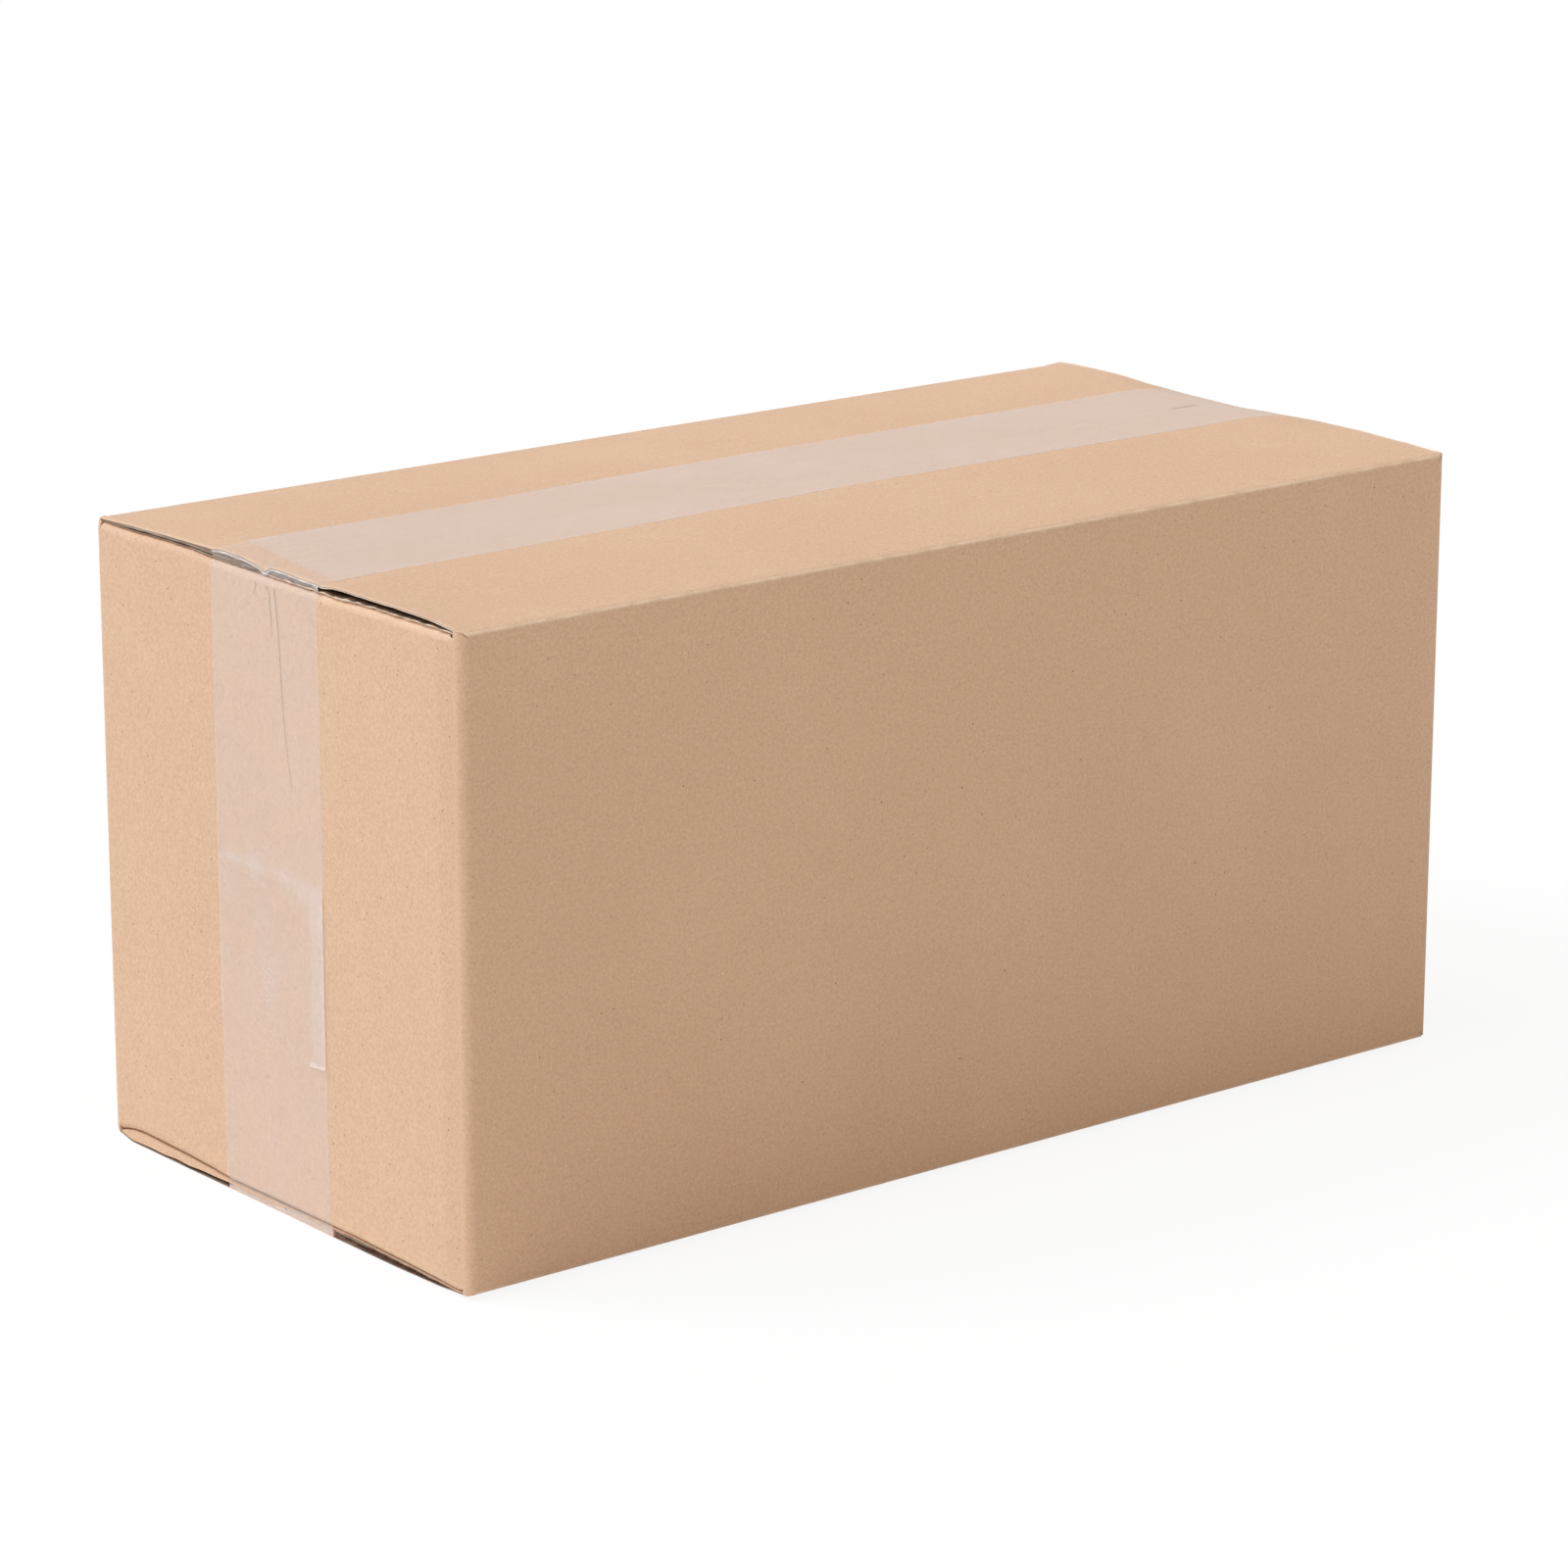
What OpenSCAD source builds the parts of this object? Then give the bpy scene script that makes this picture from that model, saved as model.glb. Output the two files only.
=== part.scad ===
// Closed corrugated carton with four panels, eight flaps and a glued upright joint,
// sealed lengthwise by one turn of clear packing tape. Millimetres, +Z up.
// The long side panels face -Y and +Y. The tape's two ends lap on the end panel at -X.

/* [Carton] */
// Outside length, over the two end panels
carton_l = 420; // [300:1:600]
// Outside width, over the two side panels
carton_w = 206; // [160:1:320]
// Clear height inside, between the bottom and the top end flaps
inside_h = 200; // [140:1:400]

/* [Board] */
// Thickness of the corrugated board
board_t = 3; // [2.2:0.1:4]
// Thickness of each of the two outer papers
liner_t = 0.4; // [0.2:0.05:0.6]
// Depth of the open flute along a cut end
flute_depth = 3.5; // [1:0.5:6]
// Inner radius of the upright folds
upright_fold_r = 1; // [0.5:0.1:3]
// Width of the score line beside each end flap's fold
score_w = 1.6; // [0.8:0.1:2.5]
// Depth of the score line
score_depth = 0.3; // [0.1:0.05:0.5]
// Height of panel between a score line and the fold above it
score_land = 0.8; // [0.2:0.1:3]

/* [Flaps] */
// Gap between the free edges of two long flaps
seam_gap = 1; // [0.4:0.1:3]
// Air between an end flap and the long flaps over it
flap_gap = 0.3; // [0.2:0.05:1]
// Clearance between an end flap and each side panel
flap_clear = 1.5; // [0.8:0.1:4]
// Set-back of the long flaps' cut ends from the end panels
flap_setback = 0.8; // [0.2:0.1:3]
// Height of the open slot between an upright fold and the long flap over it
slot_h = 2; // [1:0.1:3]
// Rise of the crown along each long flap, above the level of its fold
crown_rise = 1.5; // [0.5:0.1:3]
// Width of the crown's flat strip
crown_w = 20; // [6:1:28]
// Width of the slope from the crown down to the taped strip
crown_fall = 14; // [6:1:20]
// Rise of the top flaps between their ends, above the level of the fold
dome_rise = 3.2; // [3:0.1:6]
// Length over which the tape draws the top flaps down towards each end
dome_ramp = 26; // [12:1:60]

/* [Glued joint] */
// Width of the glue tab, measured from the back panel's outer face
tab_w = 38; // [20:1:60]
// Height by which each end of the tab tapers
tab_taper = 12; // [2:1:25]
// Clearance between the tab and the end flaps
tab_clear = 2; // [0.5:0.5:8]
// Set-back of the end panel's cut edge from the back panel's outer face
joint_setback = 1; // [0.2:0.1:3]

/* [Tape] */
// Width of the packing tape
tape_w = 60; // [36:1:75]
// Thickness of the packing tape
tape_t = 0.06; // [0.04:0.01:0.15]
// Distance of the tape's middle from the seam, towards the back
tape_offset = 3; // [0:0.5:8]
// Flat strip of flap that shows on each side of the tape
tape_margin = 1; // [0.5:0.5:5]
// Height of the covered end of the tape above the base
tape_start_z = 116; // [100:1:180]
// Length by which the outer end laps over the covered end
tape_lap = 60; // [20:1:80]

/* [Hidden] */
$fn = 64;

// Straight lengths that draw each slope and bow of a flap
ease_steps = 6;
// Reach of a cut past the face that it opens
cut = 1;

half_l = carton_l / 2;
half_w = carton_w / 2;
upright_fold_out_r = upright_fold_r + board_t;

// Levels are measured from the middle of the carton's height
end_panel_top = inside_h / 2;
end_flap_top = end_panel_top + board_t;
side_panel_top = end_flap_top + flap_gap;
fold_top = side_panel_top + board_t;
upright_fold_top = side_panel_top - slot_h;
tab_root_top = end_panel_top - tab_clear;
rest_z = fold_top + crown_rise;

// Reach of every flap from the outer face of its own panel
flap_reach = half_w - seam_gap / 2;
long_flap_half_l = half_l - flap_setback;
end_flap_half_w = half_w - board_t - flap_clear;

// Places across a long flap, measured from its side panel's outer face
taped_at = half_w - tape_w / 2 - tape_offset - tape_margin;
crown_end = taped_at - crown_fall;
crown_start = crown_end - crown_w;

// The top flaps' slopes end where the open flutes begin
ramp_end = long_flap_half_l - flute_depth;

// Points of a slope from a to b that is level at both ends, a cubic ease
function slope(a, b) = [for (i = [0:ease_steps])
    let (u = i / ease_steps) [a.x + (b.x - a.x) * u, a.y + (b.y - a.y) * u * u * (3 - 2 * u)]];

// Points of a bow that springs up from a and is level at b, a quarter of a sine
function bow(a, b) = [for (i = [0:ease_steps])
    let (u = i / ease_steps) [a.x + (b.x - a.x) * u, a.y + (b.y - a.y) * sin(90 * u)]];

// The outer face across a long flap's cut end: up to the crown, level, and down to the taped strip
end_curve = concat(
    bow([board_t, 0], [crown_start, crown_rise]),
    slope([crown_end, crown_rise], [taped_at, 0]),
    [[flap_reach, 0]]);

// The outer face across a top flap between its ends, where it stays up under the tape
dome_curve = concat(
    bow([board_t, 0], [taped_at, dome_rise]),
    [[flap_reach, dome_rise]]);

// The taped strip along the top, which slopes down towards both ends
ramp_curve = concat(
    slope([-ramp_end, 0], [dome_ramp - ramp_end, dome_rise]),
    slope([ramp_end - dome_ramp, dome_rise], [ramp_end, 0]));

// A curve with its two ends carried on level by d
function widened(curve, d) =
    concat([curve[0] - [d, 0]], curve, [curve[len(curve) - 1] + [d, 0]]);

// The outline of what lies under a curve, down to a level below every board
under_depth = dome_rise + 2 * board_t;
function under(curve) =
    concat([[curve[0].x, -under_depth]], curve, [[curve[len(curve) - 1].x, -under_depth]]);

// The outline between a curve's outer and inner papers
function between_liners(curve) = concat(
    [for (p = curve) p - [0, liner_t]],
    [for (i = [len(curve) - 1:-1:0]) curve[i] - [0, board_t - liner_t]]);

// The children and their mirror image
module both(axis) {
    children();
    mirror(axis) children();
}

// A profile drawn in Y and Z, carried along X from x0 to x1
module along_x(x0, x1) {
    translate([x0, 0, 0]) rotate([90, 0, 90]) linear_extrude(x1 - x0) children();
}

// A profile drawn in X and Z, carried along Y from y0 to y1
module along_y(y0, y1) {
    translate([0, y1, 0]) rotate([90, 0, 0]) linear_extrude(y1 - y0) children();
}

// The section of a sharp-creased fold: a quarter disc of one board's thickness
module fold_section() {
    translate([board_t, -board_t]) intersection() {
        circle(board_t);
        translate([-board_t, 0]) square(board_t);
    }
}

// All that lies under a long flap's outer face, with its sides moved out by spare
module under_long_flap(domed, spare) {
    x = long_flap_half_l + spare;
    along_x(-x, x) polygon(under(spare > 0 ? widened(end_curve, spare) : end_curve));
    if (domed) intersection() {
        along_x(-x, x) polygon(under(spare > 0 ? widened(dome_curve, spare) : dome_curve));
        along_y(-spare, half_w + spare) polygon(under(ramp_curve));
    }
}

// A long flap from its fold to its free edge, level with z = 0 at the fold
module long_flap(domed) {
    along_x(-long_flap_half_l, long_flap_half_l) fold_section();
    difference() {
        under_long_flap(domed, 0);
        translate([0, 0, -board_t]) under_long_flap(domed, cut);
        both([1, 0, 0]) open_flute();
    }
}

// The flute that the knife opened along one cut end of a long flap
module open_flute() {
    along_x(long_flap_half_l - flute_depth, long_flap_half_l + cut)
        polygon(between_liners(concat(end_curve, [[flap_reach + cut, 0]])));
}

// The two long flaps of the top or, mirrored, of the bottom
module long_flap_pair(domed) {
    both([0, 1, 0]) translate([0, -half_w, fold_top]) long_flap(domed);
}

// An end flap, folded in first, with its fold at the end panel's top
module end_flap() {
    along_y(-end_flap_half_w, end_flap_half_w) translate([-half_l, end_flap_top]) {
        fold_section();
        translate([board_t, -board_t]) square([flap_reach - board_t, board_t]);
    }
}

// A side panel at -Y, from x0 to x1 between its upright folds
module side_panel(x0, x1) {
    translate([x0, -half_w, -side_panel_top]) cube([x1 - x0, board_t, 2 * side_panel_top]);
}

// An end panel at -X, from y0 to y1, with a score line beside each end flap's fold
module end_panel(y0, y1) {
    score_r = (score_w * score_w / 4 + score_depth * score_depth) / (2 * score_depth);
    score_z = end_panel_top - score_land - score_w / 2;
    difference() {
        translate([-half_l, y0, -end_panel_top]) cube([board_t, y1 - y0, 2 * end_panel_top]);
        both([0, 0, 1]) translate([0, -half_w + upright_fold_out_r, 0])
            along_y(0, carton_w - 2 * upright_fold_out_r)
            translate([-half_l - score_r + score_depth, score_z]) circle(score_r);
    }
}

// An upright fold in the corner at x, y, where the panels' outer faces meet, up to a level
module upright_fold(x, y, top) {
    translate([x + upright_fold_out_r, y + upright_fold_out_r, -top])
        linear_extrude(2 * top) intersection() {
            difference() {
                circle(upright_fold_out_r);
                circle(upright_fold_r);
            }
            translate([-upright_fold_out_r, -upright_fold_out_r]) square(upright_fold_out_r);
        }
}

// The tab beyond the back panel's fold, glued to the inside of the far end panel
module glue_tab() {
    root = half_w - upright_fold_out_r;
    tip = half_w - tab_w;
    tip_top = tab_root_top - tab_taper;
    along_x(half_l - 2 * board_t, half_l - board_t)
        polygon([[root, tab_root_top], [tip, tip_top], [tip, -tip_top], [root, -tab_root_top]]);
}

// The flute opened along the far end panel's cut edge, at the glued joint
module joint_flute(edge) {
    translate([half_l - board_t + liner_t, edge - flute_depth, -end_panel_top - cut])
        cube([board_t - 2 * liner_t, flute_depth + cut, 2 * (end_panel_top + cut)]);
}

module carton() {
    panel_x = half_l - upright_fold_out_r;
    panel_y = half_w - upright_fold_out_r;
    joint_edge = half_w - joint_setback;
    color([0.80, 0.64, 0.48]) translate([0, 0, rest_z]) {
        // Panels: front, back, near end and far end
        side_panel(-panel_x, panel_x);
        mirror([0, 1, 0]) side_panel(-panel_x, panel_x - board_t);
        end_panel(-panel_y, panel_y);
        difference() {
            mirror([1, 0, 0]) end_panel(-panel_y, joint_edge);
            joint_flute(joint_edge);
        }
        // Upright folds, of which the last one turns the glue tab inside the far end panel
        upright_fold(-half_l, -half_w, upright_fold_top);
        mirror([1, 0, 0]) upright_fold(-half_l, -half_w, upright_fold_top);
        mirror([0, 1, 0]) upright_fold(-half_l, -half_w, upright_fold_top);
        mirror([0, 1, 0]) mirror([1, 0, 0]) upright_fold(-half_l + board_t, -half_w, tab_root_top);
        glue_tab();
        // Flaps
        both([0, 0, 1]) both([1, 0, 0]) end_flap();
        long_flap_pair(true);
        mirror([0, 0, 1]) long_flap_pair(false);
    }
}

// The tape leaves an end panel at the level from which the straight way to the long
// flap's edge just touches the end flap's fold
edge_rise = fold_top - end_panel_top;
touch_length = sqrt(edge_rise * edge_rise + flap_setback * flap_setback - 2 * board_t * flap_setback);
tape_leaves = end_panel_top + board_t * flap_setback / (edge_rise + touch_length);

// The way of the tape round the carton, on the board's side of it
tape_path = concat(
    [[-half_l, -tape_leaves], [-long_flap_half_l, -fold_top]],
    [[long_flap_half_l, -fold_top], [half_l, -tape_leaves]],
    [[half_l, tape_leaves], [long_flap_half_l, fold_top]],
    [for (i = [len(ramp_curve) - 1:-1:0]) ramp_curve[i] + [0, fold_top]],
    [[-long_flap_half_l, fold_top], [-half_l, tape_leaves]]);

// The outward unit normal of the line from a to b, on a path that runs anticlockwise
function outward(a, b) = [b.y - a.y, a.x - b.x] / norm(b - a);

// A closed path moved outward by t, with mitred corners
function moved_out(path, t) = [for (i = [0:len(path) - 1])
    let (last = len(path) - 1,
        m = outward(path[i == 0 ? last : i - 1], path[i]),
        n = outward(path[i], path[i == last ? 0 : i + 1]))
    path[i] + t * (m + n) / (1 + m * n)];

module sealing_tape() {
    middle = tape_offset;
    start_z = tape_start_z - rest_z;
    end_z = start_z - tape_lap;
    step = 10 * tape_t;
    color([0.88, 0.82, 0.76, 0.4]) translate([0, 0, rest_z])
        along_y(middle - tape_w / 2, middle + tape_w / 2) {
            difference() {
                polygon(moved_out(tape_path, tape_t));
                polygon(tape_path);
            }
            // The lap: the outer end comes down over the covered end and stops below it
            polygon([[-half_l, end_z], [-half_l, start_z + step], [-half_l - tape_t, start_z + step],
                [-half_l - 2 * tape_t, start_z], [-half_l - 2 * tape_t, end_z]]);
        }
}

carton();
sealing_tape();
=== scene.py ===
"""A closed cardboard box: one folded and glued sheet of corrugated board, sealed with clear packing tape.

Shapes are worked out in millimetres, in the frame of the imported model. Meshes are made in metres.
"""
import math

import bpy
import numpy as np
from mathutils import Matrix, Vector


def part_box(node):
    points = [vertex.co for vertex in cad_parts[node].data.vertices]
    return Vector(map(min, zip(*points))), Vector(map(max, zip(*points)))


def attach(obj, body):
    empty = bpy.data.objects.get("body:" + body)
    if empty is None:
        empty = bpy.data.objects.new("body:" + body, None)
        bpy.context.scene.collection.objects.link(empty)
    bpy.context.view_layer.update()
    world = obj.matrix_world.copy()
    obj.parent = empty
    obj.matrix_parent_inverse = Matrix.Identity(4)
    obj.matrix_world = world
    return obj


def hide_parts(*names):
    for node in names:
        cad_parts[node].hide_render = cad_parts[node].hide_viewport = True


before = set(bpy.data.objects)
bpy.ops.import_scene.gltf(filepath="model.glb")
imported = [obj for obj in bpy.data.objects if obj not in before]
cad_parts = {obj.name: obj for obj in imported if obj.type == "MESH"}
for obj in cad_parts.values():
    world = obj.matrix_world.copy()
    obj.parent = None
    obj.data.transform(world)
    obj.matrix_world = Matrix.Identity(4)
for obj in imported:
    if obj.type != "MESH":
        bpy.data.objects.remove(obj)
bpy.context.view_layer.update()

bl_info = {
    "name": "Closed Cardboard Box",
    "version": (1, 0, 0),
    "blender": (4, 5, 0),
    "location": "3D View > Sidebar > Carton",
    "description": "Builds a taped shipping carton from its folds, its cut board edges and its tape",
    "category": "Add Mesh",
}

MM = 0.001
CARTON_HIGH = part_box("carton")[1]

# Outside of the folded carton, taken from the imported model
HALF_LENGTH = round(CARTON_HIGH.x / MM, 2)
HALF_WIDTH = round(CARTON_HIGH.y / MM, 2)
BOARD = 3.0
# The planes of the long folds, and the level that mirrors top and bottom
FOLD_TOP = 214.1
FOLD_BOTTOM = 1.5
MIDDLE = (FOLD_TOP + FOLD_BOTTOM) / 2
# A fold's radius, and where a long fold begins on the panel and on the flap
FOLD_RADIUS = 3.0
FOLD_FOOT = FOLD_TOP - FOLD_RADIUS
FOLD_START = HALF_WIDTH - FOLD_RADIUS
# The power of cosine and sine that makes a long fold sharper than a circle
FOLD_SHARPNESS = 0.72
UPRIGHT_RADIUS = 4.0
FLAP_HALF_LENGTH = HALF_LENGTH - 0.8
FLAP_FREE_EDGE = 0.03
# The end flaps lie a gap under the long ones
END_FOLD_TOP = FOLD_TOP - BOARD - 0.3
END_FLAP_HALF_WIDTH = 98.5
END_FLAP_REACH = 96.0
# Where the flaps' own sheets take over from the end panels and the side panels, and a back corner's top
END_PANEL_TOP = 203.0
SIDE_PANEL_TOP = 205.0
BACK_CORNER_TOP = 213.0
# The glued joint: its cut edge with the open flute, and the tab's plane, end, height and taper
JOINT_EDGE = 102.0
FLUTE_DEPTH = 3.5
TAB_X = HALF_LENGTH - BOARD
TAB_END = 65
TAB_TOP = 205.8
TAB_TAPER = 12
# The near end panel leans in from this pressed line to its front fold
PRESSED_LINE = -91.5
LEAN = 0.55
LEAN_REACH = 7.5
# Lengths over which the tape draws the top and the bottom to the cut edges
TOP_RAMP = 26
BOTTOM_RAMP = 20
# How far the bottom's strips are crowned, and where the floor stops what stands out there
BOTTOM_CROWN = 1.45
BOTTOM_MOST = FOLD_BOTTOM - 0.02
# Lengths over which the board thins to its cut ends, and an end flap dips from its fold
EDGE_REACH = 16
DIP_REACH = 13

# Where the tape lies
TAPE_MIDDLE = 3.0
TAPE_HALF_WIDTH = 30.0
TAPE_FRONT = TAPE_MIDDLE - TAPE_HALF_WIDTH
TAPE_BACK = TAPE_MIDDLE + TAPE_HALF_WIDTH
TAPE_INNER_END = 116.0
TAPE_OUTER_END = 56.0
TAPE_LIFT = 0.06
FILM = 0.03

# Height of the near end's cut edge over the upper fold plane, at each distance across
NEAR_TOP_LINE = (
    (-103, -0.25), (-99.6, -0.1), (-97, 0.45), (-89, 1.25), (-78.5, 1.55), (-68, 1.7), (-57, 1.6),
    (-46, 1.65), (-40, 1.6), (-35, 1.5), (-31, 0.9), (-29, 0.55), (-25.7, 0.95), (-16, 1.1), (-7, 1.5),
    (-1.3, 1.5), (1.2, 0.5), (3, -0.3), (4.8, 0.2), (7.3, 1.05), (16, 1.9), (25.6, 2.25), (30, 2.0),
    (33.4, 1.5), (47, 1.3), (61, 1.15), (81, 0.65), (93, 0.15), (103, -0.3),
)
# Height of the line where the near end panel's fold meets the flaps, over the same plane
NEAR_UNDER_LINE = (
    (-103, -1.0), (-97.5, -0.95), (-89, -0.8), (-79.5, -0.9), (-68, -0.95), (-57, -0.9), (-47, -1.15),
    (-43, -1.2), (-30, -1.4), (-16, -1.35), (-3, -1.3), (3, -1.35), (7, -1.3), (33, -1.2), (47, -0.6),
    (61, -0.6), (81, -1.0), (96, -0.9), (103, -0.75),
)
# How far the near end's lower cut edge sags below the lower fold plane
NEAR_SAG_LINE = (
    (-100, 0.0), (-95, 0.3), (-85, 0.9), (-60, 1.35), (-30, 1.4), (0, 1.3), (30, 1.4), (60, 1.45),
    (92, 1.45), (100, 0.0),
)
# Height of the near end panel's lower fold over the lower fold plane
NEAR_CREASE_LINE = (
    (-103, 0.2), (-96, 0.3), (-85, 0.8), (-60, 1.4), (-40, 1.8), (-30, 1.7), (0, 1.5), (30, 1.3),
    (36, 1.7), (45, 2.3), (60, 2.9), (85, 3.3), (91, 2.9), (96, 2.0), (100, 0.9), (103, 0.3),
)
# How far the far end panel's folds stand beyond its end flaps
FAR_FOLD = 1.9
# Height of the far end's cut edge over the upper fold plane
FAR_TOP_LINE = (
    (-103, 0.0), (-97, -0.1), (-81, 0.5), (-60, 1.05), (-39, 1.05), (-17, 0.35), (0, -0.3), (25, 0.0),
    (46, 0.65), (67, 1.75), (89, 1.8), (97, 1.5), (103, 1.2),
)

# Places of the board's materials in each piece's list
PAPER, CUT, FLUTE, LINER = range(4)


def smooth(t):
    """0 below 0 and 1 above 1, and between them 3 t squared less 2 t cubed."""
    t = np.clip(t, 0.0, 1.0)
    return t * t * (3 - 2 * t)


def table(places, line):
    """Heights between a line's points: the mean of the straight line there and of a smooth step."""
    at, value = np.array(line, float).T
    places = np.clip(places, at[0], at[-1])
    k = np.clip(np.searchsorted(at, places, side="right") - 1, 0, len(at) - 2)
    t = (places - at[k]) / (at[k + 1] - at[k])
    return value[k] + (value[k + 1] - value[k]) * (t + smooth(t)) / 2


def spaced(start, end, step):
    """Evenly spaced values from start to end, about a step apart."""
    return np.linspace(start, end, max(2, int(round(abs(end - start) / step)) + 1))


def joined(*parts):
    """The parts one after another, with the first value of each later part left out."""
    return np.concatenate([p if i == 0 else p[1:] for i, p in enumerate(parts)])


def bump(values, middle, reach):
    """A round hill: 1 at the middle, falling to 0 at the reach on both sides as a squared cosine."""
    t = np.clip(np.abs(values - middle) / reach, 0, 1)
    return np.cos(t * math.pi / 2) ** 2


def bell(values, middle, reach):
    """A hill that fades out: e to the power of minus the square of the distance divided by the reach."""
    return np.exp(-((values - middle) / reach) ** 2)


def ripple(places, seed, waves, shortest, longest):
    """A seeded sum of sines with random lengths, heights and phases, over the root of their number."""
    draw = np.random.default_rng(seed)
    total = np.zeros_like(places)
    for _ in range(waves):
        length = draw.uniform(shortest, longest)
        total = total + draw.uniform(0.5, 1) * np.sin(2 * math.pi * (places / length + draw.uniform()))
    return total / math.sqrt(waves)


# Heights of the closed top and bottom


def ramp(distance, length):
    """1 at an end and 0 a length away from it: the square of one less the share of the length."""
    return (1 - np.clip(distance / length, 0, 1)) ** 2


def top_rise(x, y):
    """Height of the closed top over its fold plane.

    Each flap bows up from its fold as a quarter of a sine, lower near the near end, and the two meet in
    a smooth step under the tape. A ramp at each end leads from there to the line of the cut edge.
    """
    back = 2.5 + 1.3 * smooth((x + 160) / 190)
    front = 1.5 + 1.9 * smooth((x + 195) / 235) - 0.4 * smooth((x - 60) / 110)
    rise_front = front * np.sin(math.pi / 2 * np.clip((FOLD_START + y) / (FOLD_START + TAPE_FRONT), 0, 1))
    rise_back = back * np.sin(math.pi / 2 * np.clip((FOLD_START - y) / (FOLD_START - TAPE_BACK), 0, 1))
    across = smooth((y - TAPE_FRONT) / (TAPE_BACK - TAPE_FRONT))
    dome = rise_front * (1 - across) + rise_back * across
    near = ramp(x + FLAP_HALF_LENGTH, TOP_RAMP)
    far = ramp(FLAP_HALF_LENGTH - x, TOP_RAMP)
    edges = near * table(y, NEAR_TOP_LINE) + far * table(y, FAR_TOP_LINE)
    return dome * (1 - near) * (1 - far) + edges * smooth((FOLD_START - np.abs(y)) / 2)


def bottom_rise(x, y):
    """How far the closed bottom stands out below its fold plane.

    Beside the tape a strip of each flap is crowned, by a smooth step from the tape times a smooth fall to
    the fold. A ramp at the near end leads to the sagging edge, and the floor stops both.
    """
    away = np.abs(y)
    crown = BOTTOM_CROWN * smooth((away - 34) / 14) * smooth((FOLD_START - away) / 30)
    near = ramp(x + FLAP_HALF_LENGTH, BOTTOM_RAMP)
    return np.clip(crown * (1 - near) + near * table(y, NEAR_SAG_LINE), 0, BOTTOM_MOST)


def mirrored(z):
    """The height in the bottom half that answers to one in the top half, and the other way round."""
    return 2 * MIDDLE - z


# Meshes


def band(rows, columns, closed):
    """Quads between neighbouring rows of a grid whose points are numbered row by row."""
    row, column = np.meshgrid(
        np.arange(rows - 1), np.arange(columns if closed else columns - 1), indexing="ij")
    here, after = row * columns + column, row * columns + (column + 1) % columns
    return np.stack((here, after, after + columns, here + columns), -1).reshape(-1, 4)


def volume_sign(points, quads):
    """The sign of the volume between the faces and the origin, with each quad as two triangles."""
    a, b, c, d = (points[quads[:, i]] for i in range(4))
    return np.sign(np.sum(a * (np.cross(b, c) + np.cross(c, d))))


def make_piece(name, points, quads, caps, index, materials, masks, node="carton",
               sharp=30):
    """A mesh object from points in millimetres, with its faces turned outwards.

    The index holds the material of each quad and then of each cap. Masks are values per point, by name.
    """
    turn = int(volume_sign(points, quads))
    faces = quads[:, ::turn].tolist() + [cap[::turn] for cap in caps]
    mesh = bpy.data.meshes.new(name)
    mesh.from_pydata((points * MM).tolist(), [], faces)
    mesh.update()
    for material in materials:
        mesh.materials.append(material)
    mesh.polygons.foreach_set("material_index", index.astype(np.int32))
    mesh.polygons.foreach_set("use_smooth", np.ones(len(faces), bool))
    mesh.set_sharp_from_angle(angle=math.radians(sharp))
    for mask, values in masks.items():
        attribute = mesh.attributes.new(mask, "FLOAT", "POINT")
        attribute.data.foreach_set("value", values.astype(np.float32))
    mesh.validate()
    piece = bpy.data.objects.new(name, mesh)
    bpy.context.scene.collection.objects.link(piece)
    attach(piece, "root")
    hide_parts(node)
    return piece


def loops_piece(name, loops, quad_material, materials, masks):
    """A closed skin through a stack of closed loops, with a flat cut face over the first and the last."""
    rows, columns = loops.shape[:2]
    caps = [list(range(columns))[::-1], list(range((rows - 1) * columns, rows * columns))]
    index = np.append(np.broadcast_to(quad_material, (rows - 1, columns)), [CUT, CUT])
    flat = {mask: values.ravel() for mask, values in masks.items()}
    return make_piece(name, loops.reshape(-1, 3), band(rows, columns, True), caps, index, materials, flat)


# The four panels, one strip bent round the carton


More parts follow.
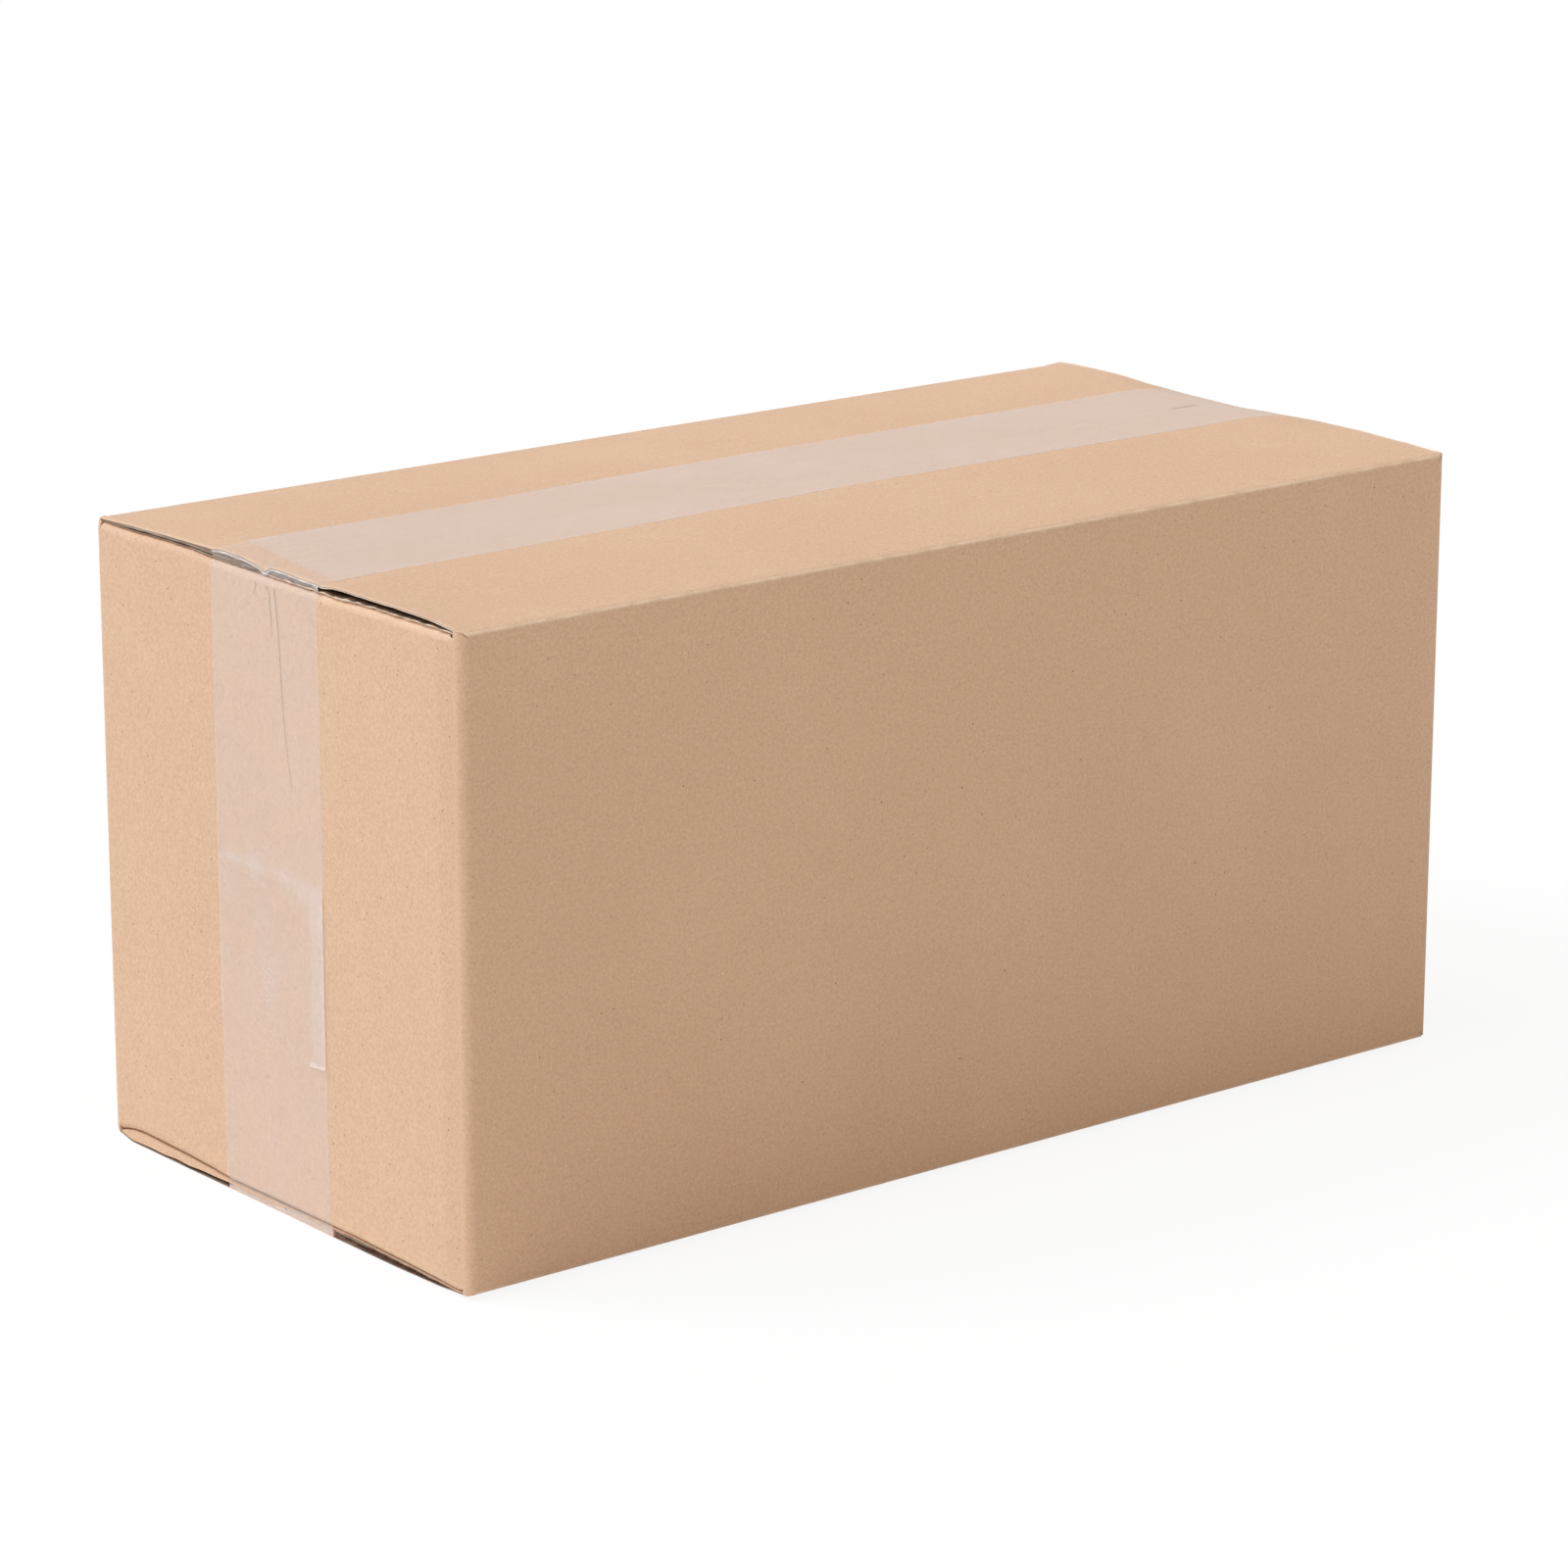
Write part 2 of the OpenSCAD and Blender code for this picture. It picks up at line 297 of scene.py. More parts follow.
def wall_plan():
    """The outside of the four panels from above, from the glued joint's cut edge round to the tab's end.

    Each panel is a straight run and each upright fold a quarter circle. Every place has its point,
    its outward normal and the heights of its two rims. At a front fold the rim follows the long fold's
    arc, and at a back fold it rises with the square of the normal's part across.
    """
    edge_x, edge_y = HALF_LENGTH - UPRIGHT_RADIUS, HALF_WIDTH - UPRIGHT_RADIUS
    turn = np.linspace(0, math.pi / 2, 13)
    coarse, fine = 8, 1.5
    gap, under, far_drop = 0.03, 0.05, 0.35
    runs = []

    def straight(start, end, step, normal, high):
        """A panel's run from start to end, with its upper rim at the given height."""
        t = np.linspace(0, 1, max(2, int(round(math.dist(start, end) / step)) + 1))
        at = np.outer(1 - t, start) + np.outer(t, end)
        high = np.full(len(t), high)
        runs.append((at, np.tile(normal, (len(t), 1)), mirrored(high), high))

    def fold(x, y, begin, high=None):
        """A quarter circle round a centre, clockwise from the angle it begins at, and its rims."""
        out = np.stack([np.cos(begin - turn), np.sin(begin - turn)], 1)
        at = np.array((x, y)) + UPRIGHT_RADIUS * out
        if high is not None:
            rim = np.full(len(turn), high)
        elif y < 0:
            past = np.clip((np.abs(at[:, 1]) - FOLD_START) / FOLD_RADIUS, 0, 1)
            arc = (1 - past ** (2 / FOLD_SHARPNESS)) ** (FOLD_SHARPNESS / 2)
            rim = FOLD_FOOT + (FOLD_RADIUS - gap) * arc - far_drop * (x > 0)
        else:
            rim = BACK_CORNER_TOP + (FOLD_TOP - under - BACK_CORNER_TOP) * out[:, 1] ** 2
        near_back = x < 0 < y
        low = np.full(len(turn), FOLD_BOTTOM + under) if near_back else mirrored(rim)
        runs.append((at, out, low, rim))

    straight((HALF_LENGTH, JOINT_EDGE), (HALF_LENGTH, -edge_y + gap), coarse, (1, 0), END_PANEL_TOP)
    fold(edge_x, -edge_y, 0)
    straight((edge_x - gap, -HALF_WIDTH), (gap - edge_x, -HALF_WIDTH), coarse, (0, -1), SIDE_PANEL_TOP)
    fold(-edge_x, -edge_y, -math.pi / 2)
    straight((-HALF_LENGTH, gap - edge_y), (-HALF_LENGTH, edge_y - gap), fine, (-1, 0), END_PANEL_TOP)
    fold(-edge_x, edge_y, math.pi)
    straight((gap - edge_x, HALF_WIDTH), (edge_x - BOARD - gap, HALF_WIDTH), coarse, (0, 1), SIDE_PANEL_TOP)
    fold(edge_x - BOARD, edge_y, math.pi / 2, TAB_TOP)
    straight((TAB_X, edge_y - gap), (TAB_X, TAB_END), coarse, (1, 0), TAB_TOP)
    at, out, low, high = (np.concatenate(part) for part in zip(*runs))
    taper = np.zeros(len(at))
    tab = slice(-len(runs[-1][0]), None)
    taper[tab] = TAB_TAPER * (edge_y - at[tab, 1]) / (edge_y - TAB_END)
    return at, out, low + taper, high - taper


def lean(y):
    """How far the near end panel lies behind its plane: it grows evenly past the pressed line."""
    return LEAN * np.clip((PRESSED_LINE - y) / LEAN_REACH, 0, 1)


def lean_shade_mask(y):
    """1 in front of the near end's pressed line and 0 behind it, with a smooth step between: the strip that
    leans in and gets painted shade.
    """
    return smooth((PRESSED_LINE + 0.5 - y) / 0.8)


def make_walls(materials):
    """The strip of panels: its outside, its inside and a channel in the joint's edge, carried up in rows.

    Within a fold's radius of its rims a back corner draws in, by the radius less the root of the radius
    squared less the height gone there squared.
    """
    at, out, low, high = wall_plan()
    count = len(at)
    near_front = (at[:, 0] < 0) & (at[:, 1] < PRESSED_LINE) & (at[:, 1] > -HALF_WIDTH + 0.5)
    behind = np.where(near_front, lean(at[:, 1]) * np.clip((at[:, 1] + HALF_WIDTH) / 4, 0, 1), 0)
    outer = at + np.stack([behind, np.zeros(count)], 1)
    thick = BOARD - 0.02
    inner = outer - thick * out
    outer_liner, inner_liner = HALF_LENGTH - 0.45, HALF_LENGTH - 2.5
    channel = np.array([
        (inner_liner, JOINT_EDGE), (inner_liner, JOINT_EDGE - FLUTE_DEPTH),
        (outer_liner, JOINT_EDGE - FLUTE_DEPTH), (outer_liner, JOINT_EDGE),
    ])
    plan = np.concatenate([outer, inner[::-1], channel])
    near_share = 0.2
    rounded = ((high > BACK_CORNER_TOP - 0.1) & (at[:, 1] > 0)) * np.where(at[:, 0] < 0, near_share, 1)
    inwards = np.zeros_like(plan)
    inwards[:count] = -out * rounded[:, None]
    lows = np.concatenate([low, low[::-1], np.full(4, low[0])])
    highs = np.concatenate([high, high[::-1], np.full(4, high[0])])
    rim_rows = np.array([0, 0.0006, 0.0018, 0.0036, 0.006, 0.009, 0.0125, 0.017, 0.04])
    v = np.concatenate([rim_rows, np.linspace(0.08, 0.92, 25), 1 - rim_rows[::-1]])
    z = lows + v[:, None] * (highs - lows)
    past = np.clip(np.maximum(z - (highs - FOLD_RADIUS), lows + FOLD_RADIUS - z), 0, FOLD_RADIUS)
    drawn = FOLD_RADIUS - np.sqrt(np.clip(FOLD_RADIUS ** 2 - past ** 2, 0.01, None))
    loops = np.concatenate([plan + inwards * drawn[..., None], z[..., None]], -1)
    material = np.full(len(plan), PAPER)
    material[count - 1] = CUT
    material[2 * count - 1:] = (CUT, FLUTE, FLUTE, FLUTE, CUT)
    wear_and_highlight = np.zeros(len(plan))
    round_x = np.abs(at[:, 0]) > HALF_LENGTH - UPRIGHT_RADIUS - 0.5
    round_y = np.abs(at[:, 1]) > HALF_WIDTH - UPRIGHT_RADIUS - 0.5
    # The rounded upright corners are painted a little paler: painted highlight, with some wear
    wear_and_highlight[:count] = 0.05 * (round_x & round_y)
    # Painted shade on the strip of the near end panel in front of its pressed line
    lean_shade = np.zeros(len(plan))
    lean_shade[:count] = np.where((at[:, 0] < -HALF_LENGTH + 1) & (at[:, 1] < 0), lean_shade_mask(at[:, 1]), 0)
    rows = len(v)
    top = (rows - 1) * len(plan)
    pairs = np.arange(count - 1)
    mirror = 2 * count - 1 - pairs
    rim = np.stack([pairs, mirror, mirror - 1, pairs + 1], 1)
    skin = np.concatenate([band(rows, len(plan), True), rim, rim[:, ::-1] + top])
    joint = [2 * count - 1, *range(len(plan) - 4, len(plan)), 0]
    caps = [joint, [i + top for i in joint[::-1]]]
    index = np.concatenate([np.tile(material, rows - 1), np.full(2 * len(rim), PAPER), (CUT, CUT)])
    masks = {"wear_and_highlight": np.tile(wear_and_highlight, rows), "lean_shade": np.tile(lean_shade, rows)}
    return make_piece("carton_walls", loops.reshape(-1, 3), skin, caps, index, materials[:FLUTE + 1], masks)


# Flaps, each one a sheet that comes up its wall, over the fold and inwards


def sheet_path(face, wall, fold_up, inwards, steps, power):
    """A sheet's outside: distance from the middle, height, and the outward normal's two parts.

    The fold's arc is its radius times the cosine and the sine of the angle, each to the given power.
    """
    angle = np.linspace(0, math.pi / 2, steps)
    cosine, sine = np.abs(np.cos(angle)), np.sin(angle)
    ones, zeros = np.ones(len(wall)), np.zeros(len(inwards))
    out = np.concatenate([face * ones, face - FOLD_RADIUS + FOLD_RADIUS * cosine ** power, inwards])
    up = np.concatenate([wall, fold_up - FOLD_RADIUS + FOLD_RADIUS * sine ** power, fold_up + zeros])
    return out, up, np.concatenate([ones, cosine, zeros]), np.concatenate([0 * ones, sine, zeros + 1])


def edge_shape(r, end, side, level):
    """What a cut end of a long flap looks like at each distance r from the middle of the carton.

    It gives the board's thickness there, the depth of the flute's roof, the thickness of the lower
    liner, how far the flute is open inwards, and how far the lower liner stands out.
    """
    y = side * r
    fade = smooth((FOLD_START - 1.5 - r) / 4)
    bared = smooth((r - 32) / 2)
    if level == "top":
        near_thick = table(y, NEAR_TOP_LINE) - table(y, NEAR_UNDER_LINE)
    else:
        near_thick = table(y, NEAR_CREASE_LINE) + table(y, NEAR_SAG_LINE) - 0.12
    if end > 0:
        seed = {(-1, "top"): 13, (1, "top"): 12, (-1, "bottom"): 16, (1, "bottom"): 15}[side, level]
        thick = table(r, ((0, 2.9), (60, 2.9), (85, 2.6), (96, 1.9), (103, 1.5)))
        thick = thick + 0.06 * ripple(r, 29 + seed, 5, 7, 18)
        roof = 0.42 + 0 * r
        liner = 0.40 + 0.06 * ripple(r, 31 + seed, 5, 5, 15)
        deep = 4.0 * fade
        stand = 0.1 * ripple(r, 37 + seed, 5, 5, 15)
    elif (side, level) == (-1, "top"):
        uneven = 0.16 * ripple(y, 3, 5, 6, 19) * smooth((90 - r) / 12) * smooth((r - 46) / 2)
        thick = near_thick - 0.12 + uneven + 0.3 * bump(r, 38, 9)
        roof = 0.48 + 0.06 * ripple(y, 4, 4, 8, 20)
        tongue = smooth(r - 36) * smooth((45.5 - r) / 0.6)
        liner = 0.36 + 0.16 * ripple(y, 5, 5, 3, 11) + 0.22 * tongue
        deep = 5.0 * fade
        stand = 0.30 + 0.18 * ripple(y, 7, 6, 3, 11) + 0.25 * tongue
    elif (side, level) == (1, "top"):
        thick = near_thick - 0.1
        slits = [bump(r, 80, 5), bump(r, 73, 6), 0.8 * bump(r, 50, 8), 0.3 * bump(r, 62, 6)]
        slit = np.maximum.reduce(slits)
        roof = thick * (0.60 - 0.12 * slit)
        liner = thick * (0.22 - 0.06 * slit)
        deep = 0.8 + 3.5 * slit
        stand = 0.10 * ripple(r, 11, 6, 5, 16)
    elif side > 0:
        thick = near_thick
        roof = 0.34 + 0.08 * ripple(r, 14, 4, 9, 20)
        wedge = table(r, ((0, 1.3), (33, 1.5), (38, 1.4), (60, 0.85), (85, 0.5), (97, 0.3), (103, 0.15)))
        liner = thick - roof - wedge
        deep = (0.5 + 2.1 * bared) * smooth((FOLD_START - 2 - r) / 6)
        stand = 0.1 + 0.08 * ripple(r, 17, 6, 12, 30)
    else:
        thick = near_thick
        roof = 0.26 + 0 * r
        liner = 0.4 + 0.12 * ripple(r, 19, 5, 7, 18) + 0.5 * bump(r, 40, 14)
        deep = (0.5 + 1.3 * bared) * fade
        stand = 0.12 * ripple(r, 23, 5, 6, 17)
    thick = np.clip(thick, 0.45, 5.0)
    roof = np.minimum(roof, thick * 0.6)
    liner = np.clip(liner, 0.14, thick - roof - 0.06)
    return thick, roof, liner, deep, stand


def flute_mouth(shape, half, end):
    """Places and depths of six points round a cut end's flute, from the lower liner up to the roof."""
    thick, roof, liner, deep, stand = shape
    inward = (stand, stand, -deep, -deep, 0 * half, 0 * half)
    depth = (thick, thick - liner, thick - liner, roof, roof, np.minimum(0.2, roof * 0.45))
    return np.stack([end * (half + i) for i in inward], 1), np.stack(depth, 1)


def long_flap_path():
    """A long flap's outside path, with half its length at each place.

    Over the fold the flap's ends follow the upright folds' circles, and then step back to the cut ends.
    """
    wall = spaced(SIDE_PANEL_TOP, FOLD_FOOT - 0.02, 3)
    inwards = joined(spaced(FOLD_START, 94, 0.75), spaced(94, FLAP_FREE_EDGE, 0.9))[1:]
    path = sheet_path(HALF_WIDTH, wall, FOLD_TOP, inwards, 17, FOLD_SHARPNESS)
    past = np.clip(path[0] - HALF_WIDTH + UPRIGHT_RADIUS, 0, None)
    bend = np.sqrt(np.clip(UPRIGHT_RADIUS ** 2 - past ** 2, 0, None))
    bend = bend - (HALF_LENGTH - FLAP_HALF_LENGTH) * smooth(bend / 3)
    bend[:len(wall)] = 0
    return *path, HALF_LENGTH - UPRIGHT_RADIUS + bend


def make_long_flap(name, side, level, materials):
    """One long flap with its fold: loops along the carton's length, from the wall over the fold to the seam.

    A loop runs along the outside, round the far end's open flute, back inside and round the near end's.
    Depth into the board runs against the path's normal, and the closed face's rise is added upright. The
    board comes to the thickness of its cut ends by smooth steps.
    """
    out, up, normal_out, normal_up, half = long_flap_path()
    outside = joined(spaced(-1.0, -0.87, 0.006), spaced(-0.87, 0.87, 0.022), spaced(0.87, 1.0, 0.006))
    inside = joined(spaced(1.0, 0.86, 0.02), spaced(0.86, -0.86, 0.06), spaced(-0.86, -1.0, 0.02))[1:-1]
    x_out = half[:, None] * outside
    x_in = half[:, None] * inside
    near, far = (edge_shape(out, end, side, level) for end in (-1, 1))
    full = BOARD - 0.06
    thick = full + (1 - smooth((x_in + half[:, None]) / EDGE_REACH)) * (near[0][:, None] - full)
    thick = thick + (1 - smooth((half[:, None] - x_in) / EDGE_REACH)) * (far[0][:, None] - full)
    x_far, depth_far = flute_mouth(far, half, 1)
    x_near, depth_near = flute_mouth(near, half, -1)
    x = np.concatenate([x_out, x_far[:, ::-1], x_in, x_near], 1)
    depth = np.concatenate([np.zeros_like(x_out), depth_far[:, ::-1], thick, depth_near], 1)
    closed_rise = top_rise if level == "top" else bottom_rise
    rise = closed_rise(np.clip(x, -FLAP_HALF_LENGTH, FLAP_HALF_LENGTH), side * out[:, None] + 0 * x)
    rise = rise * smooth((FOLD_START - out) / 0.5 + 1)[:, None]
    y = side * (out[:, None] - depth * normal_out[:, None])
    z = up[:, None] + rise - depth * normal_up[:, None]
    if level == "bottom":
        z = mirrored(z)
    n_out, n_in = x_out.shape[1], x_in.shape[1]
    under = LINER if (side, level) == (-1, "top") else CUT
    material = np.tile(
        [PAPER] * (n_out - 1) + [CUT, under, FLUTE, FLUTE, FLUTE, under]
        + [PAPER] * (n_in + 1) + [under, FLUTE, FLUTE, FLUTE, under, CUT], (len(out) - 1, 1))
    if level == "bottom":
        material[out[1:] < TAPE_HALF_WIDTH + side * TAPE_MIDDLE, -6:] = PAPER
    if (side, level) == (1, "bottom"):
        bare = out[1:] > TAPE_BACK
        material[bare, n_out + 4] = material[bare, -6] = PAPER
    material[out[1:] > FOLD_START - 0.6] = PAPER
    wear_and_highlight = np.zeros_like(x)
    # Paler near the cut ends by wear, and along the fold's arc by a painted highlight with some wear
    end_wear = 0.7 * (1 - smooth((half[:, None] - np.abs(x_out)) / 2.5)) * (out < HALF_WIDTH - 2)[:, None]
    fold_highlight_and_wear = bell(np.arctan2(normal_up, normal_out), 0.72, 0.26)
    wear_and_highlight[:, :n_out] = np.maximum(fold_highlight_and_wear[:, None], end_wear)
    masks = {"wear_and_highlight": wear_and_highlight, "lean_shade": np.zeros_like(wear_and_highlight)}
    return loops_piece(name, np.stack([x, y, z], -1), material, materials, masks)


def make_end_flap(name, side, level, materials):
    """The upper or lower end of an end panel, its fold and the end flap under the long flaps.

    The fold follows the line where it meets the long flaps. Its lift grows evenly up the panel and fades
    by a smooth step along the flap, which then lies flat under them.
    """
    fold_foot = END_FOLD_TOP - FOLD_RADIUS
    wall = spaced(END_PANEL_TOP, fold_foot, 1.2)
    bend_end = HALF_LENGTH - 22
    inwards = joined(spaced(HALF_LENGTH - FOLD_RADIUS, bend_end, 1.2),
                     spaced(bend_end, HALF_LENGTH - END_FLAP_REACH, 8))[1:]
    out, up, normal_out, normal_up = sheet_path(HALF_LENGTH, wall, END_FOLD_TOP, inwards, 15, 1)
    across = joined(spaced(-1, -0.9, 0.01), spaced(-0.9, 1, 0.012))
    trim = np.where(across < 0, 1.8, 0.4) * smooth((normal_up - 0.55) / 0.12)[:, None]
    y_out = (HALF_WIDTH - UPRIGHT_RADIUS - 0.02 - trim) * across
    climb = np.clip((up - END_PANEL_TOP) / (fold_foot - END_PANEL_TOP), 0, 1)
    dip = 1 - smooth((HALF_LENGTH - FOLD_RADIUS - out) / DIP_REACH)
    if side > 0:
        line = FAR_FOLD + 0 * across
    elif level == "top":
        line = table(across * END_FLAP_HALF_WIDTH, NEAR_UNDER_LINE) + FOLD_TOP - END_FOLD_TOP
    else:
        line = FOLD_TOP - END_FOLD_TOP - table(across * END_FLAP_HALF_WIDTH, NEAR_CREASE_LINE)
    lift = (climb * dip)[:, None] * line
    y = np.concatenate([y_out, y_out[:, ::-1]], 1)
    depth = np.concatenate([np.zeros_like(y_out), np.full_like(y_out, BOARD - 0.05)], 1)
    distance = out[:, None] - depth * normal_out[:, None]
    if side < 0:
        distance = distance - lean(y) * (1 - normal_up[:, None])
    z = up[:, None] + np.concatenate([lift, lift[:, ::-1]], 1) - depth * normal_up[:, None]
    if level == "bottom":
        z = mirrored(z)
    n = len(across)
    material = ([PAPER] * (n - 1) + [CUT]) * 2
    wear_and_highlight = np.zeros_like(y)
    # A pale band along the end panel's fold, full only in front of the tape: painted highlight with some wear
    right_of_tape = 0.25 + 0.75 * smooth((TAPE_FRONT - 1 - y_out) / 3)
    wear_and_highlight[:, :n] = 0.45 * bell(out, HALF_LENGTH - 1.0, 1.2)[:, None] * right_of_tape
    wear_and_highlight[:len(wall), :n] = 0
    # Painted shade on the same strip of the near end's fold and flap
    lean_shade = np.zeros_like(y)
    if side < 0:
        lean_shade[:, :n] = lean_shade_mask(y_out)
    masks = {"wear_and_highlight": wear_and_highlight, "lean_shade": lean_shade}
    return loops_piece(name, np.stack([side * distance, y, z], -1), material, materials[:CUT + 1], masks)


# Tape

# Bent line across and up the near end, half width, height of the ridge
WRINKLES = (
    (((4.0, 212.5), (-3.5, 209.5), (-4.9, 199), (-5.6, 190), (-7.1, 167), (-9.0, 155), (-10.6, 146)),
     0.36, 0.05),
    (((3.5, 212.0), (-0.6, 208), (-1.2, 201), (-1.6, 194)), 0.4, 0.04),
    (((6.0, 211.5), (8.0, 206.5)), 0.6, 0.1),
)
# Soft milky patches along the buried end: middle across, height, two reaches, amount of air
CLOUDS = (
    (10.2, 115.6, 5.2, 4.8, 0.55), (-3.6, 116.4, 3.8, 3.2, 0.40), (-13.5, 112.8, 6.0, 4.2, 0.45),
    (24.0, 115.6, 7.0, 1.7, 0.32), (-22.0, 112.0, 4.5, 6.0, 0.45),
)


def distance_to_line(y, z, line):
    """The shortest distance from each point to a bent line, and the share of the line passed there."""
    best = np.full(y.shape, 1e9)
    along = np.zeros(y.shape)
    line = np.array(line, float)
    lengths = np.hypot(*np.diff(line, axis=0).T)
    done = np.concatenate([[0], np.cumsum(lengths)]) / lengths.sum()
    for i, step in enumerate(np.diff(line, axis=0)):
        t = np.clip(((y - line[i, 0]) * step[0] + (z - line[i, 1]) * step[1]) / (step @ step), 0, 1)
        d = np.hypot(y - line[i, 0] - t * step[0], z - line[i, 1] - t * step[1])
        along = np.where(d < best, done[i] + t * (done[i + 1] - done[i]), along)
        best = np.minimum(d, best)
    return best, along


def end_film(y, z):
    """Ridges, air, painted highlights and painted shade in the film on the near end, at each place across and
    up it.

    A ridge is a bell round a bent line that narrows along it, with a dark line of painted shade on it and a
    painted highlight beside it. Air lies in milky clouds along the buried end of the tape, under the loose
    margins beside it with a bright rim at the front, as slanting streaks in the lapped part, along the corner
    of the outer end and in a line below.
    """
    ridge, air_and_highlight, dark = np.zeros((3, len(y)))
    for line, half, tall in WRINKLES:
        d, along = distance_to_line(y, z, line)
        narrow = 1 - 0.75 * along
        ridge = np.maximum(ridge, tall * narrow * bell(d, 0, half * (0.4 + 0.6 * narrow)))
        # Painted shade: a dark line along each crease
        dark = np.maximum(dark, narrow ** 0.4 * bell(d, 0, 0.28))
        # Painted highlight beside the long creases
        air_and_highlight = np.maximum(air_and_highlight, 0.2 * narrow * bell(d, 0.9, 0.35) * (y > -12))
    buried = TAPE_INNER_END + 0.3 * ripple(y, 41, 5, 12, 40)
    step_air = 0.2 * bell(z, buried - 0.6, 1.3) * (0.7 + 0.4 * ripple(y, 43, 5, 5, 16))
    for middle_y, middle_z, reach_y, reach_z, amount in CLOUDS:
        cloud = bell(y, middle_y, reach_y) * bell(z, middle_z, reach_z)
        step_air = step_air + amount * cloud * (0.85 + 0.3 * ripple(y + 0.4 * z, 63, 6, 2.5, 7))
    loose = smooth((TAPE_INNER_END + 2 - z) / 4) * smooth((z - TAPE_OUTER_END + 0.5) / 1.5)
    edge = smooth((-17.5 + 1.6 * ripple(z, 47, 5, 14, 46) - y) / 3.2)
    margin = edge * (0.34 + 0.12 * ripple(z + 3 * y, 53, 6, 6, 22) + 0.22 * smooth((z - 92) / 14))
    rim = 0.75 * bell(y, -26.3, 0.7)
    left = 0.25 * smooth((y - 31.6 + 0.4 * ripple(z, 59, 4, 8, 30)) / 0.9)
    along = (y - 5) * 0.94 + (z - 77) * 0.33
    slant = (z - 77) * 0.94 - (y - 5) * 0.33
    stripes = (0.5 + 0.5 * np.sin(2 * math.pi * slant / 1.9)) ** 2
    streaks = 0.38 * stripes * bump(along, 0, 8) * bump(slant, -1, 22)
    flat = 0.04 + 0.04 * ripple(y + 0.3 * z, 61, 6, 7, 30)
    corner = 1.5 * bell(z, TAPE_OUTER_END + 0.4, 0.5) * smooth((-17 - y) / 2.5)
    below = (z < TAPE_OUTER_END) * 0.22 * bell(y, 5.5, 0.5) * smooth((46 - z) / 8) * smooth((z - 16) / 8)
    lapped = loose * np.maximum.reduce([margin, rim, left, streaks, flat])
    air_and_highlight = np.maximum.reduce([air_and_highlight, step_air, lapped, corner, below])
    return ridge, np.clip(air_and_highlight, 0, 2.2), np.clip(dark, 0, 1)


